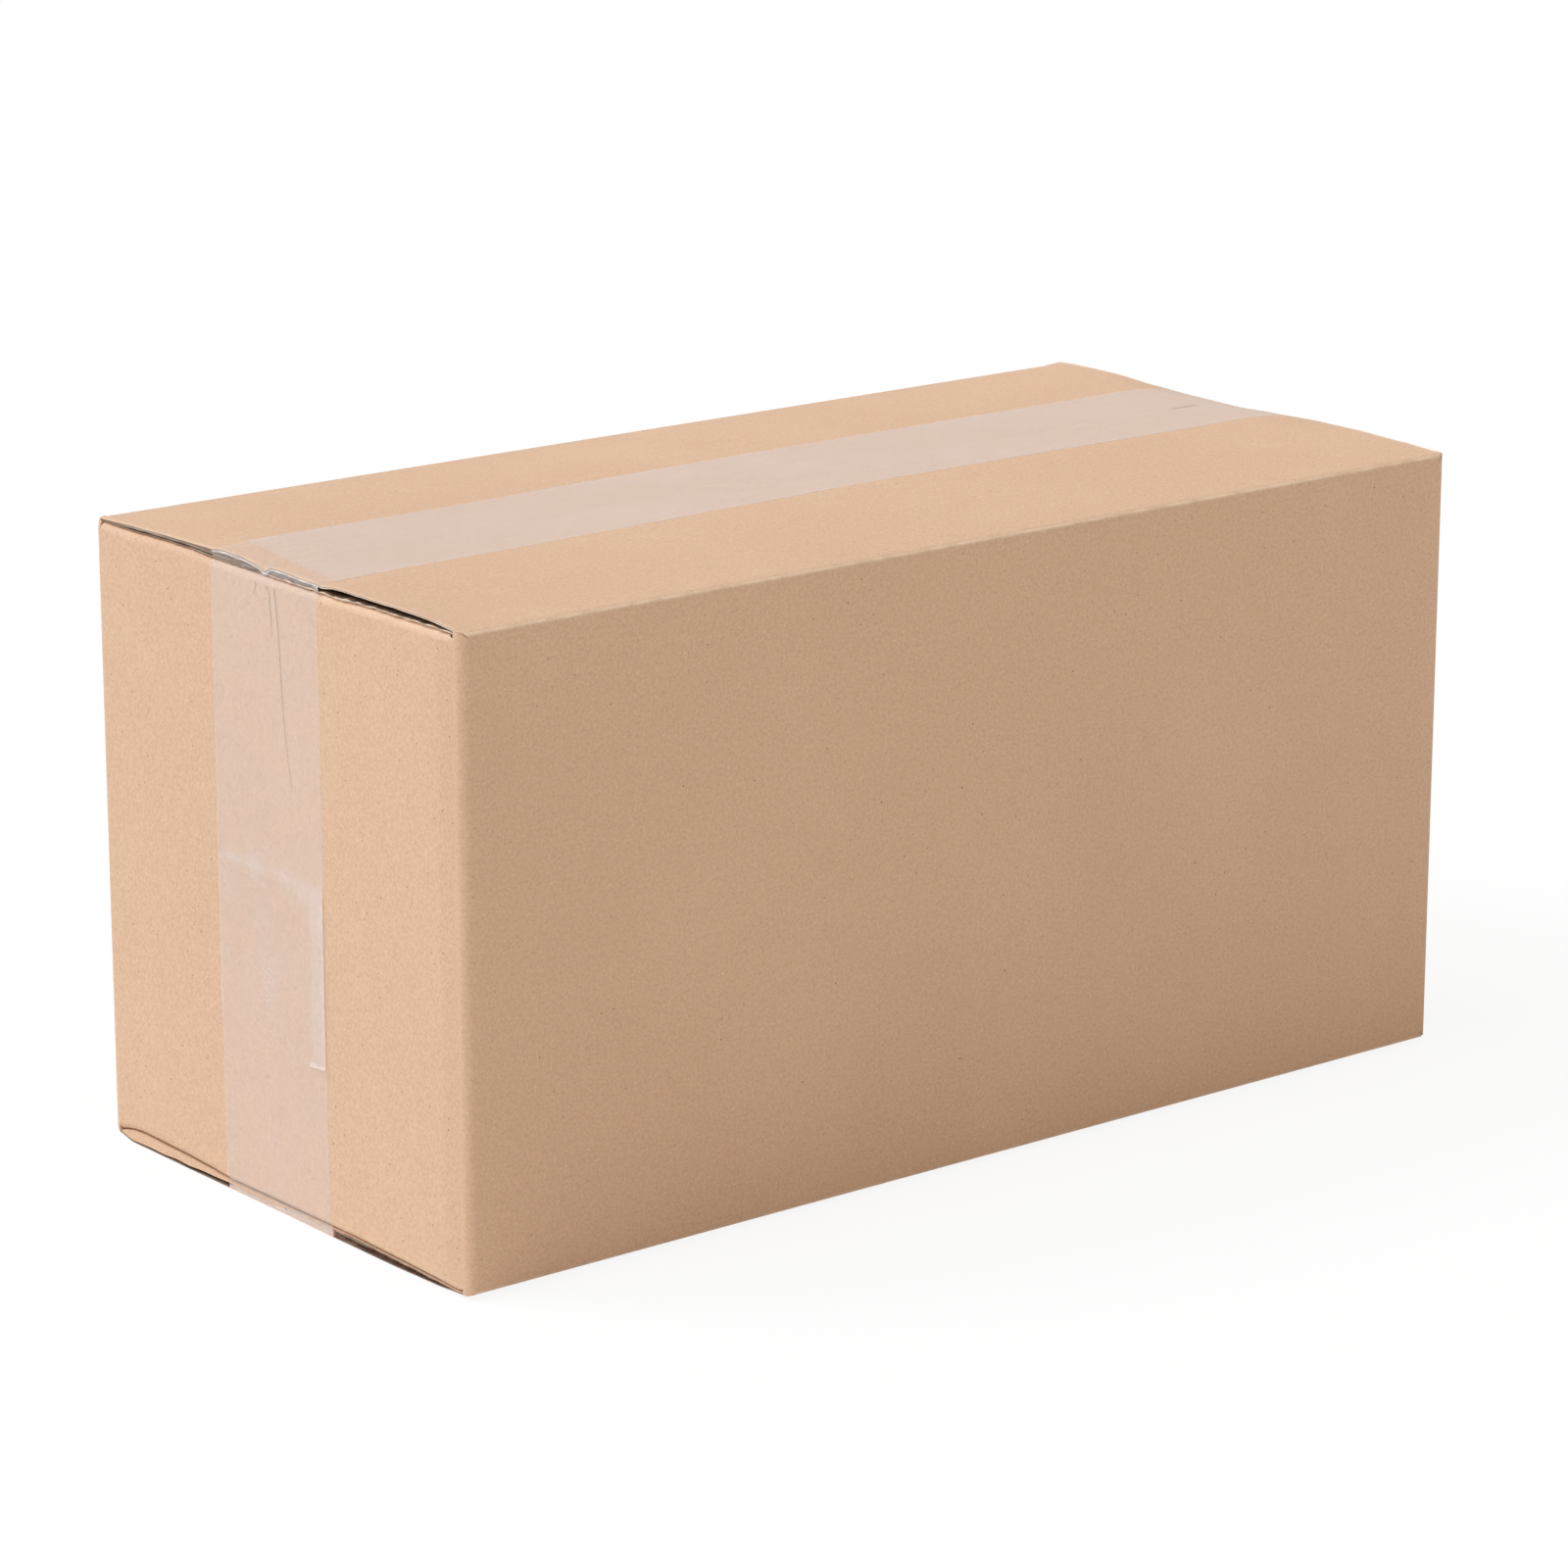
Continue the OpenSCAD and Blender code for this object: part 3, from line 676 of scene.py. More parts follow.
class TapeRows:
    """Rows of places across the tape, one after another along it, with air and painted highlight, thinness
    and painted shade for each.
    """

    # Angles of the rows over a fold, in degrees
    bend = (2.0, 11, 20, 29, 38, 47, 56, 65)

    def __init__(self):
        """Starts without rows. The places across lie closest together over the seam and the wrinkles."""
        self.y = joined(spaced(TAPE_FRONT, -12, 1.15), spaced(-12, 8, 0.27), spaced(8, TAPE_BACK, 1.3))
        self.rows = []

    def add(self, x, z, air_and_highlight=0.0, thin=1.0, dark=0.0):
        """Adds one row at the given places along and heights."""
        self.rows.append(np.stack(np.broadcast_arrays(x, self.y, z, air_and_highlight, thin, dark), -1))

    def over_fold(self, end, centre, up, degrees, air_and_highlight=0.03):
        """Adds rows over the fold of an end panel, on a circle round the fold's centre."""
        reach = FOLD_RADIUS + TAPE_LIFT
        for angle in np.radians(degrees):
            self.add(end * (HALF_LENGTH - FOLD_RADIUS + reach * math.cos(angle)),
                     centre + up * reach * math.sin(angle), air_and_highlight)

    def bottom(self, x):
        """Height of the film under the closed bottom."""
        return FOLD_BOTTOM - bottom_rise(x, self.y) - TAPE_LIFT

    def top(self, x):
        """Height of the film on the closed top."""
        return FOLD_TOP + top_rise(x, self.y) + TAPE_LIFT

    def covered_end(self, outer_line):
        """From the covered end down the near end panel. Under the lap it lies just below the paper's face."""
        face = HALF_LENGTH + TAPE_LIFT
        tucked = 0.1 - face
        self.add(tucked, TAPE_INNER_END + 0.25 * ripple(self.y, 71, 4, 10, 30), 0, 0.1)
        for z in (100.0, 80.0, TAPE_OUTER_END + 0.2 + outer_line):
            self.add(tucked, z, 0, 0.1)
        self.add(-face, TAPE_OUTER_END - 0.15 + outer_line)
        for z in spaced(TAPE_OUTER_END - 1.6, 7.5, 1.6):
            _, air_and_highlight, dark = end_film(self.y, np.full_like(self.y, z))
            self.add(-face, z, air_and_highlight, 1.0, dark)

    def near_foot(self):
        """Over the near end's lower fold and across the open ends of the bottom flaps, with a painted
        highlight at the seam and painted shade along the crease and across the middle.
        """
        y = self.y
        crease = FOLD_BOTTOM + table(y, NEAR_CREASE_LINE)
        self.over_fold(-1, crease + FOLD_RADIUS, -1, self.bend[:-1])
        low = self.bottom(-FLAP_HALF_LENGTH)
        # White at the seam, where the film is pinched: painted highlight
        white_spot = bump(y, 3.0, 5.0)
        # shade is painted shade: along the crease, and across the middle beside the seam
        for t, shade in ((0.05, 0.3), (0.25, 0), (0.5, 0.12 * (1 - white_spot)), (0.75, 0)):
            grey = np.clip(0.35 + 0.9 * white_spot * t + 0.15 * ripple(y, 67, 5, 5, 16), 0, 1.3)
            z = (crease - 0.1) * (1 - t) + t * (low + 0.7)
            self.add(-FLAP_HALF_LENGTH - TAPE_LIFT + 0.12 * math.sin(math.pi * t), z, grey, 1.3, shade)
        self.add(-FLAP_HALF_LENGTH + 0.05, low + 0.25, 0.6)

    def under_carton(self):
        """Along the bottom, up the far end and round its two folds."""
        last = FLAP_HALF_LENGTH - 0.9
        for x in joined(spaced(-last, -180, 3), spaced(-180, 180, 12), spaced(180, last, 3)):
            self.add(x, self.bottom(x))
        low, high = self.bottom(FLAP_HALF_LENGTH), self.top(FLAP_HALF_LENGTH)
        fold_centre = END_FOLD_TOP - FOLD_RADIUS + FAR_FOLD
        self.add(FLAP_HALF_LENGTH - 0.05, low + 0.25, 0.4)
        self.add(FLAP_HALF_LENGTH + TAPE_LIFT, low + 1.0, 0.4)
        self.over_fold(1, mirrored(fold_centre), -1, self.bend[::-1])
        for z in spaced(10, 205, 6.5):
            self.add(HALF_LENGTH + TAPE_LIFT, z)
        self.over_fold(1, fold_centre, 1, self.bend)
        self.add(FLAP_HALF_LENGTH + TAPE_LIFT, high - 1.0, 0.4)
        self.add(FLAP_HALF_LENGTH - 0.05, high - 0.25, 0.5)

    def over_top(self):
        """Along the top: hazy streaks, a pale line over the seam, a dark nick of painted shade in the seam
        and a clear near end.
        """
        y = self.y
        last = FLAP_HALF_LENGTH - 0.9
        streak = 0.10 + 0.03 * ripple(y, 83, 6, 3, 14)
        reach = 4.5 + 6.5 * (y - TAPE_FRONT) / (2 * TAPE_HALF_WIDTH)
        for x in joined(spaced(last, 165, 2), spaced(165, -180, 7.5), spaced(-180, -last, 1.4)):
            seam = 0.14 * bell(y, 0, 0.8) * smooth((x + 30) / 30) * smooth((120 - x) / 40)
            # The dark nick: painted shade of a small gap in the seam
            nick = bell(y, -0.2, 0.9) * smooth((x - 173) / 3) * smooth((190 - x) / 4)
            pucker = 0.5 * smooth((-196 - x) / 12) * bell(y, 3 + 0.5 * (x + 209), 1.6)
            stuck = 1 - smooth((x + FLAP_HALF_LENGTH - reach) / 4)
            hazy = np.clip(streak + 0.05 * np.sin(x / 23.0 + y / 9.0), 0, 1) * (1 - 0.8 * stuck)
            air_and_highlight = np.clip(np.maximum.reduce([hazy, seam, pucker]), 0, 1)
            self.add(x, self.top(x), air_and_highlight, 1.25 - 0.75 * stuck, 0.9 * nick)

    def near_mouth(self):
        """Across the open ends of the top flaps to the fold, with painted highlights along the film's bends,
        white knots of painted highlight where the film is pinched, and painted shade over the open flutes.
        """
        y = self.y
        high = self.top(-FLAP_HALF_LENGTH)
        under = FOLD_TOP + table(y, NEAR_UNDER_LINE)
        # Knots at the seam and at the front edge, where the film is pinched: painted highlight
        knot = bump(y, 3.0, 3.2)
        edge_knot = bump(y, TAPE_FRONT, 3.5)
        glint = 0.8 + 0.3 * ripple(y, 91, 6, 4, 16)
        # Rows along the film's bend over the cut edge, lit white and glinting: painted highlight, with some
        # milky haze
        for down, inward, white in ((0.1, 0.35, 1.6), (0.35, 0.08, 2.4), (0.8, -0.08, 1.0)):
            self.add(-FLAP_HALF_LENGTH + inward - TAPE_LIFT, high - down, np.clip(white * glint, 0, 2.6))
        span = high - 0.8 - (under - 0.1)
        grey = 0.35 + 0.15 * ripple(y, 89, 7, 3, 15)
        # Pale lines across the bridging film, the lower one where it meets the end panel: painted highlight
        middle_line = 0.5 * (0.5 + 0.5 * ripple(y, 97, 5, 6, 20))
        lower_line = 1.5 * (0.5 + 0.5 * ripple(y, 93, 5, 5, 18))
        for t in (0.18, 0.34, 0.5, 0.66, 0.82):
            air_and_highlight = np.clip(grey + middle_line * (t == 0.5), 0, 1) + lower_line * (t > 0.8) + 1.2 * edge_knot
            sag = 0.18 * math.sin(math.pi * t) - 0.25 * knot - 0.3 * edge_knot
            # Painted shade over the open flute under the film
            shade = 0.34 * (1 - knot) * math.sin(math.pi * t)
            x = -FLAP_HALF_LENGTH - TAPE_LIFT + sag
            self.add(x, high - 0.8 - t * span, np.maximum(air_and_highlight, knot), 1.3, shade)
        # A painted highlight on the first row over the fold
        self.over_fold(-1, under - FOLD_RADIUS, 1, self.bend[-1:], 0.5)
        self.over_fold(-1, under - FOLD_RADIUS, 1, self.bend[-2::-1])

    def lap(self, outer_line):
        """Down the near end over the covered end, with a loose front margin and a curled corner."""
        y = self.y
        over_end = TAPE_INNER_END + 4
        for z in joined(spaced(209.3, over_end, 1.4), spaced(over_end, TAPE_OUTER_END, 0.85)):
            ridge, air_and_highlight, dark = end_film(y, np.full_like(y, z))
            step = 0.07 * smooth((TAPE_INNER_END + 2.5 - z) / 3)
            loose = 0.22 * smooth((-19 - y) / 5) * smooth((TAPE_INNER_END - z) / 6)
            curl = 0.5 * smooth((TAPE_OUTER_END + 2 - z) / 2) * smooth((-14 - y) / 5)
            end = outer_line * (z == TAPE_OUTER_END)
            self.add(-HALF_LENGTH - TAPE_LIFT - step - ridge - loose - curl, z + end, air_and_highlight, 1.0, dark)


def make_tape(film):
    """The whole turn of tape, from its covered end round the carton to its outer end, as a closed film.

    The inner face is the outer one moved inwards along its normal, and a rim of quads joins the two.
    """
    tape = TapeRows()
    outer_line = -0.3 * ripple(tape.y, 101, 4, 9, 28)
    tape.covered_end(outer_line)
    tape.near_foot()
    tape.under_carton()
    tape.over_top()
    tape.near_mouth()
    tape.lap(outer_line)
    grid = np.stack(tape.rows)
    outer = grid[..., :3]
    normal = np.cross(np.gradient(outer, axis=0), np.gradient(outer, axis=1))
    normal = normal / np.maximum(np.linalg.norm(normal, axis=-1, keepdims=True), 1e-9)
    outwards = outer - np.array([0, TAPE_MIDDLE, MIDDLE])
    normal = normal * np.sign(np.einsum("ijk,ijk->ij", normal, outwards).mean())
    points = np.concatenate([outer.reshape(-1, 3), (outer - FILM * normal).reshape(-1, 3)])
    rows, across = outer.shape[:2]
    count = rows * across
    front = band(rows, across, False)
    number = np.arange(count).reshape(rows, across)
    rims = [np.stack([here, here + count, after + count, after], 1) for here, after in (
        (number[0, :-1], number[0, 1:]), (number[-1, 1:], number[-1, :-1]),
        (number[1:, 0], number[:-1, 0]), (number[:-1, -1], number[1:, -1]))]
    quads = np.concatenate([front, front[:, ::-1] + count, *rims])
    edge_line = np.zeros((rows, across))
    edge_line[:, [0, -1]] = 1
    masks = {"air_and_highlight": grid[..., 3], "thin": grid[..., 4], "dark": grid[..., 5], "edge_line": edge_line}
    masks = {mask: np.tile(values.ravel(), 2) for mask, values in masks.items()}
    return make_piece("sealing_tape_film", points, quads, [], np.zeros(len(quads)), [film], masks,
                      "sealing_tape", 50)


# Shader nodes


def new_group(name, inputs, outputs):
    """An empty shader node group, with its inputs' and its outputs' sockets inside it.

    An input without a value is a vector, one with a tuple a colour, and one with a number a number.
    """
    group = bpy.data.node_groups.new(name, "ShaderNodeTree")
    for label, value in inputs.items():
        kind = "Vector" if value is None else "Color" if isinstance(value, tuple) else "Float"
        made = group.interface.new_socket(label, in_out="INPUT", socket_type="NodeSocket" + kind)
        if value is not None:
            made.default_value = value
    for label in outputs:
        kind = "Color" if label == "Color" else "Float"
        group.interface.new_socket(label, in_out="OUTPUT", socket_type="NodeSocket" + kind)
    return group, group.nodes.new("NodeGroupInput").outputs, group.nodes.new("NodeGroupOutput").inputs


def put(tree, socket, value):
    """Links a socket's value to an input, or sets a plain value."""
    if isinstance(value, bpy.types.NodeSocket):
        tree.links.new(value, socket)
    else:
        socket.default_value = value


def add_node(tree, kind, inputs=None, **settings):
    """A node with its settings, and its inputs set or linked by name or number."""
    made = tree.nodes.new(kind)
    for key, value in settings.items():
        setattr(made, key, value)
    for key, value in (inputs or {}).items():
        put(tree, made.inputs[key], value)
    return made


def maths(tree, operation, a, b=0.0, clamp=False):
    """One Math node's result."""
    return add_node(tree, "ShaderNodeMath", {0: a, 1: b}, operation=operation, use_clamp=clamp).outputs[0]


def times(tree, a, b):
    """The product of two values."""
    return maths(tree, "MULTIPLY", a, b)


def between(tree, value, low, high, to_low=0.0, to_high=1.0):
    """A Map Range node's result, held inside its range."""
    return add_node(tree, "ShaderNodeMapRange", {
        "Value": value, "From Min": low, "From Max": high, "To Min": to_low, "To Max": to_high}).outputs[0]


def noise(tree, vector, scale, detail, **more):
    """A Noise texture's value."""
    inputs = {"Vector": vector, "Scale": scale, "Detail": detail, **more}
    return add_node(tree, "ShaderNodeTexNoise", inputs).outputs[0]


def blend_colour(tree, share, first, second):
    """A colour between two, by a share from 0 to 1."""
    made = add_node(tree, "ShaderNodeMix", data_type="RGBA")
    for number, value in ((0, share), (6, first), (7, second)):
        put(tree, made.inputs[number], value)
    return made.outputs[2]


def group_node(tree, group, inputs):
    """A node group placed in a material."""
    return add_node(tree, "ShaderNodeGroup", inputs, node_tree=group)


# Board materials


def paper_grain_group():
    """Fine mottle, curly fibres, slow drift and dark flecks of brown paper, each from Object coordinates.

    A fibre lies where a noise is near its middle value, and a fleck round some of the Voronoi points.
    """
    group, given, result = new_group(
        "paper_grain",
        {"Vector": None, "Mottle Scale": 1100.0, "Fibre Scale": 420.0, "Fleck Scale": 210.0},
        ("Mottle", "Fibre", "Drift", "Fleck", "Speck", "Height"))
    vector = given["Vector"]
    mottle = between(group, noise(group, vector, given["Mottle Scale"], 3.5, Roughness=0.66),
                     0.25, 0.75, -1.0, 1.0)
    curls = noise(group, vector, given["Fibre Scale"], 1.5, Roughness=0.5, Distortion=1.2)
    ridge = maths(group, "ABSOLUTE", maths(group, "SUBTRACT", curls, 0.5))
    fibre = between(group, ridge, 0.0, 0.035, 1.0, 0.0)
    drift = between(group, noise(group, vector, 16.0, 3.0, Roughness=0.55), 0.3, 0.7, -1.0, 1.0)

    def cells(scale):
        """The distance to the nearest Voronoi point, and that point's three random values."""
        made = add_node(group, "ShaderNodeTexVoronoi", {"Vector": vector, "Scale": scale})
        chance = add_node(group, "ShaderNodeSeparateColor", {0: made.outputs["Color"]}).outputs
        return made.outputs["Distance"], chance

    def dots(distance, full, gone, chosen):
        """Round dots at the chosen points, which fade out between two distances."""
        return times(group, between(group, distance, full, gone, 1.0, 0.0), chosen)

    small_distance, small_chance = cells(given["Fleck Scale"])
    wide_distance, wide_chance = cells(times(group, given["Fleck Scale"], 0.6))
    small = dots(small_distance, 0.035, 0.075, maths(group, "GREATER_THAN", small_chance[0], 0.70))
    big = dots(wide_distance, 0.022, 0.045, maths(group, "GREATER_THAN", wide_chance[1], 0.70))
    speck = dots(wide_distance, 0.02, 0.04, maths(group, "LESS_THAN", wide_chance[1], 0.15))
    height = maths(group, "ADD", times(group, mottle, 0.5), times(group, fibre, 0.4))
    results = {"Mottle": mottle, "Fibre": fibre, "Drift": drift,
               "Fleck": maths(group, "MAXIMUM", small, big), "Speck": speck, "Height": height}
    for label, value in results.items():
        group.links.new(value, result[label])
    return group


def paper_colour_group():
    """Colours the paper: the base is lightened and darkened by the mottle, streaked by fibres and dotted."""
    group, given, result = new_group(
        "paper_colour",
        {"Base": (0.6, 0.4, 0.25, 1), "Pale": (0.8, 0.6, 0.45, 1), "Dark": (0.2, 0.12, 0.07, 1),
         "Bark": (0.12, 0.06, 0.03, 1), "Mottle": 0.0, "Fibre": 0.0, "Drift": 0.0, "Fleck": 0.0,
         "Speck": 0.0, "Grain": 0.1},
        ("Color",))
    grain = given["Grain"]

    def part(label, sign):
        """What an input times the sign has above 0."""
        return maths(group, "MAXIMUM", times(group, given[label], sign), 0.0)

    colour = given["Base"]
    for mask, strength, towards in (
            (part("Mottle", 1.0), grain, "Pale"), (part("Mottle", -1.0), grain, "Dark"),
            (given["Fibre"], times(group, grain, 0.35), "Dark"),
            (part("Drift", 1.0), 0.04, "Pale"), (part("Drift", -1.0), 0.025, "Dark"),
            (given["Fleck"], 0.8, "Bark"), (given["Speck"], 0.7, "Pale")):
        colour = blend_colour(group, times(group, mask, strength), colour, given[towards])
    group.links.new(colour, result["Color"])
    return group


def start_material(name):
    """A fresh material with a Principled shader, and its Object coordinates."""
    material = bpy.data.materials.new(name)
    material.use_nodes = True
    tree = material.node_tree
    place = add_node(tree, "ShaderNodeTexCoord").outputs["Object"]
    return material, tree, tree.nodes["Principled BSDF"].inputs, place


def grained(tree, place, base, pale, dark, grain, scale=1.0):
    """The two paper groups placed in a material: the coloured result, and the grain's own outputs."""
    group = bpy.data.node_groups.get("paper_grain") or paper_grain_group()
    made = group_node(tree, group, {
        "Vector": place, "Mottle Scale": 950.0 * scale, "Fibre Scale": 400.0 * scale}).outputs
    group = bpy.data.node_groups.get("paper_colour") or paper_colour_group()
    inputs = {label: made[label] for label in ("Mottle", "Fibre", "Drift", "Fleck", "Speck")}
    inputs.update({"Base": (*base, 1), "Pale": (*pale, 1), "Dark": (*dark, 1), "Grain": grain})
    return group_node(tree, group, inputs).outputs["Color"], made


def finish_board(tree, shader, colour, mottle, rough, strength, depth, height):
    """Links the colour, a roughness that follows the mottle and a bump to the shader."""
    bumped = add_node(tree, "ShaderNodeBump", {"Strength": strength, "Distance": depth, "Height": height})
    put(tree, shader["Base Color"], colour)
    put(tree, shader["Roughness"], between(tree, mottle, -1.0, 1.0, *rough))
    put(tree, shader["Normal"], bumped.outputs[0])


def make_paper(kraft, strength):
    """Outer liner: brown kraft paper, paler along its folds by painted highlight and wear and near its cut
    ends by wear, and a little darker by painted shade where the near end panel leans in.
    """
    material, tree, shader, place = start_material("kraft_paper")
    pale = (0.94, 0.73, 0.54)
    dark = (0.22, 0.115, 0.06)
    colour, grain = grained(tree, place, kraft, pale, dark, strength)
    wear_and_highlight = add_node(tree, "ShaderNodeAttribute", attribute_name="wear_and_highlight").outputs["Fac"]
    lean_shade = add_node(tree, "ShaderNodeAttribute", attribute_name="lean_shade").outputs["Fac"]
    # Paler along the folds, the upright corners and the cut ends: wear, and painted highlight where the folds
    # catch the light, broken into patches by a noise
    wear_and_highlight_patches = between(tree, noise(tree, place, 150.0, 5.0), 0.34, 0.62, 0.28, 0.68)
    colour = blend_colour(tree, times(tree, wear_and_highlight, wear_and_highlight_patches), colour, (*pale, 1))
    # A little darker in front of the near end's pressed line: painted shade on the strip that leans in
    colour = blend_colour(tree, times(tree, lean_shade, 0.045), colour, (*dark, 1))
    finish_board(tree, shader, colour, grain["Mottle"], (0.72, 0.86), 0.3, 0.00006, grain["Height"])
    shader["Specular IOR Level"].default_value = 0.32
    return material


def make_cut(cut_edge):
    """Cut board: greyer than the liner, with darker streaks that run along the cut."""
    material, tree, shader, place = start_material("cut_board")
    colour, grain = grained(tree, place, cut_edge, (0.66, 0.53, 0.42), (0.08, 0.05, 0.035), 0.35, 1.6)
    stretched = add_node(tree, "ShaderNodeMapping", {"Vector": place, "Scale": (1.0, 0.05, 1.0)})
    lines = noise(tree, stretched.outputs[0], 1900.0, 2.0)
    streak = between(tree, lines, 0.42, 0.60, 0.0, 0.6)
    colour = blend_colour(tree, streak, colour, (0.10, 0.06, 0.042, 1))
    finish_board(tree, shader, colour, grain["Mottle"], (0.85, 0.95), 0.5, 0.0002, lines)
    return material


def make_flute():
    """Inside of an opened flute: the middle paper, darkened by painted shade of the channel, ribbed by what
    is left of the torn wave.
    """
    material, tree, shader, place = start_material("open_flute")
    # Dark brown base colour: painted shade inside the open channel
    colour, grain = grained(
        tree, place, (0.17, 0.095, 0.058), (0.34, 0.22, 0.15), (0.04, 0.021, 0.013), 0.5, 0.8)
    patches = noise(tree, place, 150.0, 3.0, Roughness=0.6)
    share = between(tree, patches, 0.48, 0.72, 0.0, 0.8)
    colour = blend_colour(tree, share, colour, (0.36, 0.235, 0.16, 1))
    finish_board(tree, shader, colour, grain["Mottle"], (0.88, 0.98), 0.6, 0.0003, patches)
    shader["Specular IOR Level"].default_value = 0.2
    return material


def make_liner():
    """Torn edge of a liner: pale fibres that catch the light, with small dark nicks along it."""
    material, tree, shader, place = start_material("torn_liner")
    colour, grain = grained(
        tree, place, (0.72, 0.55, 0.41), (0.88, 0.78, 0.68), (0.20, 0.12, 0.08), 0.5, 0.7)
    finish_board(tree, shader, colour, grain["Mottle"], (0.85, 0.95), 0.4, 0.0002, grain["Height"])
    return material


def board_materials(settings):
    """The board's four materials in the order of their places, each made the first time."""
    made = bpy.data.materials
    return [
        made.get("kraft_paper") or make_paper(settings.kraft, settings.grain),
        made.get("cut_board") or make_cut(settings.cut_edge),
        made.get("open_flute") or make_flute(),
        made.get("torn_liner") or make_liner(),
    ]


# Film of the tape


def film_haze_group():
    """Haze of the tape: fine lengthwise streaks in the glue, and the air, painted highlights and painted
    shade given by the piece.

    The opacity is the haze times the thinness, made uneven by streaks and clouds, plus a quarter of the
    air and painted highlight. Painted shade on a crease or a gap is at least half opaque and dark brown, and
    the long edges are a little more opaque.
    """
    group, given, result = new_group(
        "film_haze",
        {"Vector": None, "Air": 0.0, "Thin": 1.0, "Dark": 0.0, "Edge": 0.0, "Haze": 0.16},
        ("Color", "Alpha", "Roughness"))
    stretched = add_node(group, "ShaderNodeMapping", {"Vector": given["Vector"], "Scale": (0.12, 1.0, 0.12)})
    streaks = noise(group, stretched.outputs[0], 420.0, 3.0)
    cloud = noise(group, given["Vector"], 70.0, 4.0)
    uneven = maths(group, "ADD", between(group, streaks, 0.3, 0.7, -0.07, 0.07),
                   between(group, cloud, 0.3, 0.7, -0.08, 0.08))
    haze = times(group, times(group, given["Haze"], given["Thin"]), maths(group, "ADD", uneven, 1.0))
    air_and_highlight = times(group, given["Air"], between(group, cloud, 0.35, 0.65, 0.7, 1.1))
    alpha = maths(group, "ADD", haze, times(group, air_and_highlight, 0.26))
    # At least about half opaque where the piece paints shade
    alpha = maths(group, "MAXIMUM", alpha, times(group, given["Dark"], 0.55))
    alpha = maths(group, "ADD", alpha, times(group, given["Edge"], 0.05), clamp=True)
    # Milky where air lies under the film, and whiter where a highlight is painted
    milky_and_highlight = maths(group, "MULTIPLY", air_and_highlight, 1.0, clamp=True)
    colour = blend_colour(group, milky_and_highlight, (0.91, 0.87, 0.85, 1), (0.99, 0.925, 0.915, 1))
    # Dark brown where the piece paints shade on creases and gaps
    colour = blend_colour(group, given["Dark"], colour, (0.42, 0.19, 0.09, 1))
    rough = between(group, given["Air"], 0.0, 1.0, 0.24, 0.42)
    for label, value in (("Color", colour), ("Alpha", alpha), ("Roughness", rough)):
        group.links.new(value, result[label])
    return group


def film_material(settings):
    """Clear packing tape: a thin glossy film, slightly grey, milky where air lies under it, with painted
    highlights and painted shade from the piece's masks.
    """
    old = bpy.data.materials.get("clear_film")
    if old:
        return old
    material, tree, shader, place = start_material("clear_film")
    inputs = {"Vector": place, "Haze": settings.haze}
    for label, mask in (("Air", "air_and_highlight"), ("Thin", "thin"), ("Dark", "dark"), ("Edge", "edge_line")):
        inputs[label] = add_node(tree, "ShaderNodeAttribute", attribute_name=mask).outputs["Fac"]
    haze = group_node(tree, film_haze_group(), inputs).outputs
    for label, socket in (("Color", "Base Color"), ("Alpha", "Alpha"), ("Roughness", "Roughness")):
        tree.links.new(haze[label], shader[socket])
    shader["Specular IOR Level"].default_value = 0.8
    shader["Coat Weight"].default_value = 0.6
    shader["Coat Roughness"].default_value = 0.12
    return material


# Stage

# The camera fitted to the photograph, in metres and as unit vectors
CAMERA_PLACE = (-1.1391273, -1.4139709, 0.6098484)
CAMERA_RIGHT = (0.779310133, -0.626638098, 0.000641228)
CAMERA_DOWN = (-0.166137224, -0.207600795, -0.964002247)
CAMERA_FORWARD = (0.604213653, 0.751150187, -0.265893317)
FOCAL_PIXELS = 5613.766
PICTURE_PIXELS = 1600
FLOOR_HALF_SIZE = 15.0


def placed(name, data, axes, origin=(0, 0, 0)):
    """An object with the given data, in the scene, with its own X, Y and Z axes and its origin."""
    made = bpy.data.objects.new(name, data)
    matrix = np.eye(4)
    matrix[:3, :3] = np.array(axes).T
    matrix[:3, 3] = origin
    made.matrix_world = Matrix(matrix.tolist())
    bpy.context.scene.collection.objects.link(made)
    return made


def make_camera():
    """The camera fitted to the carton's visible edges. It looks along its own minus Z."""
    data = bpy.data.cameras.new("view")
    data.sensor_width = 36.0
    data.sensor_fit = "HORIZONTAL"
    data.lens = FOCAL_PIXELS / PICTURE_PIXELS * data.sensor_width
    data.clip_start, data.clip_end = 0.05, 60
    axes = (CAMERA_RIGHT, -np.array(CAMERA_DOWN), -np.array(CAMERA_FORWARD))
    bpy.context.scene.camera = placed("view", data, axes, CAMERA_PLACE)


def seen(tree):
    """1 for rays from the camera, through a clear face or off a glossy one, and 0 for all others."""
    rays = add_node(tree, "ShaderNodeLightPath").outputs
    direct = maths(tree, "MAXIMUM", rays["Is Camera Ray"], rays["Is Transmission Ray"])
    return maths(tree, "MAXIMUM", direct, rays["Is Glossy Ray"])


def make_world(strength):
    """Plain pale surroundings: white to the camera and in reflections, soft and warmer as a light."""
    world = bpy.data.worlds.new("studio")
    world.use_nodes = True
    tree = world.node_tree
    tree.nodes.clear()
    soft = add_node(tree, "ShaderNodeBackground", {"Color": (1.0, 0.94, 0.865, 1), "Strength": strength})
    white = add_node(tree, "ShaderNodeBackground", {"Color": (1, 1, 1, 1), "Strength": 1.0})
    mixed = add_node(tree, "ShaderNodeMixShader", {0: seen(tree), 1: soft.outputs[0], 2: white.outputs[0]})
    add_node(tree, "ShaderNodeOutputWorld", {"Surface": mixed.outputs[0]})
    bpy.context.scene.world = world


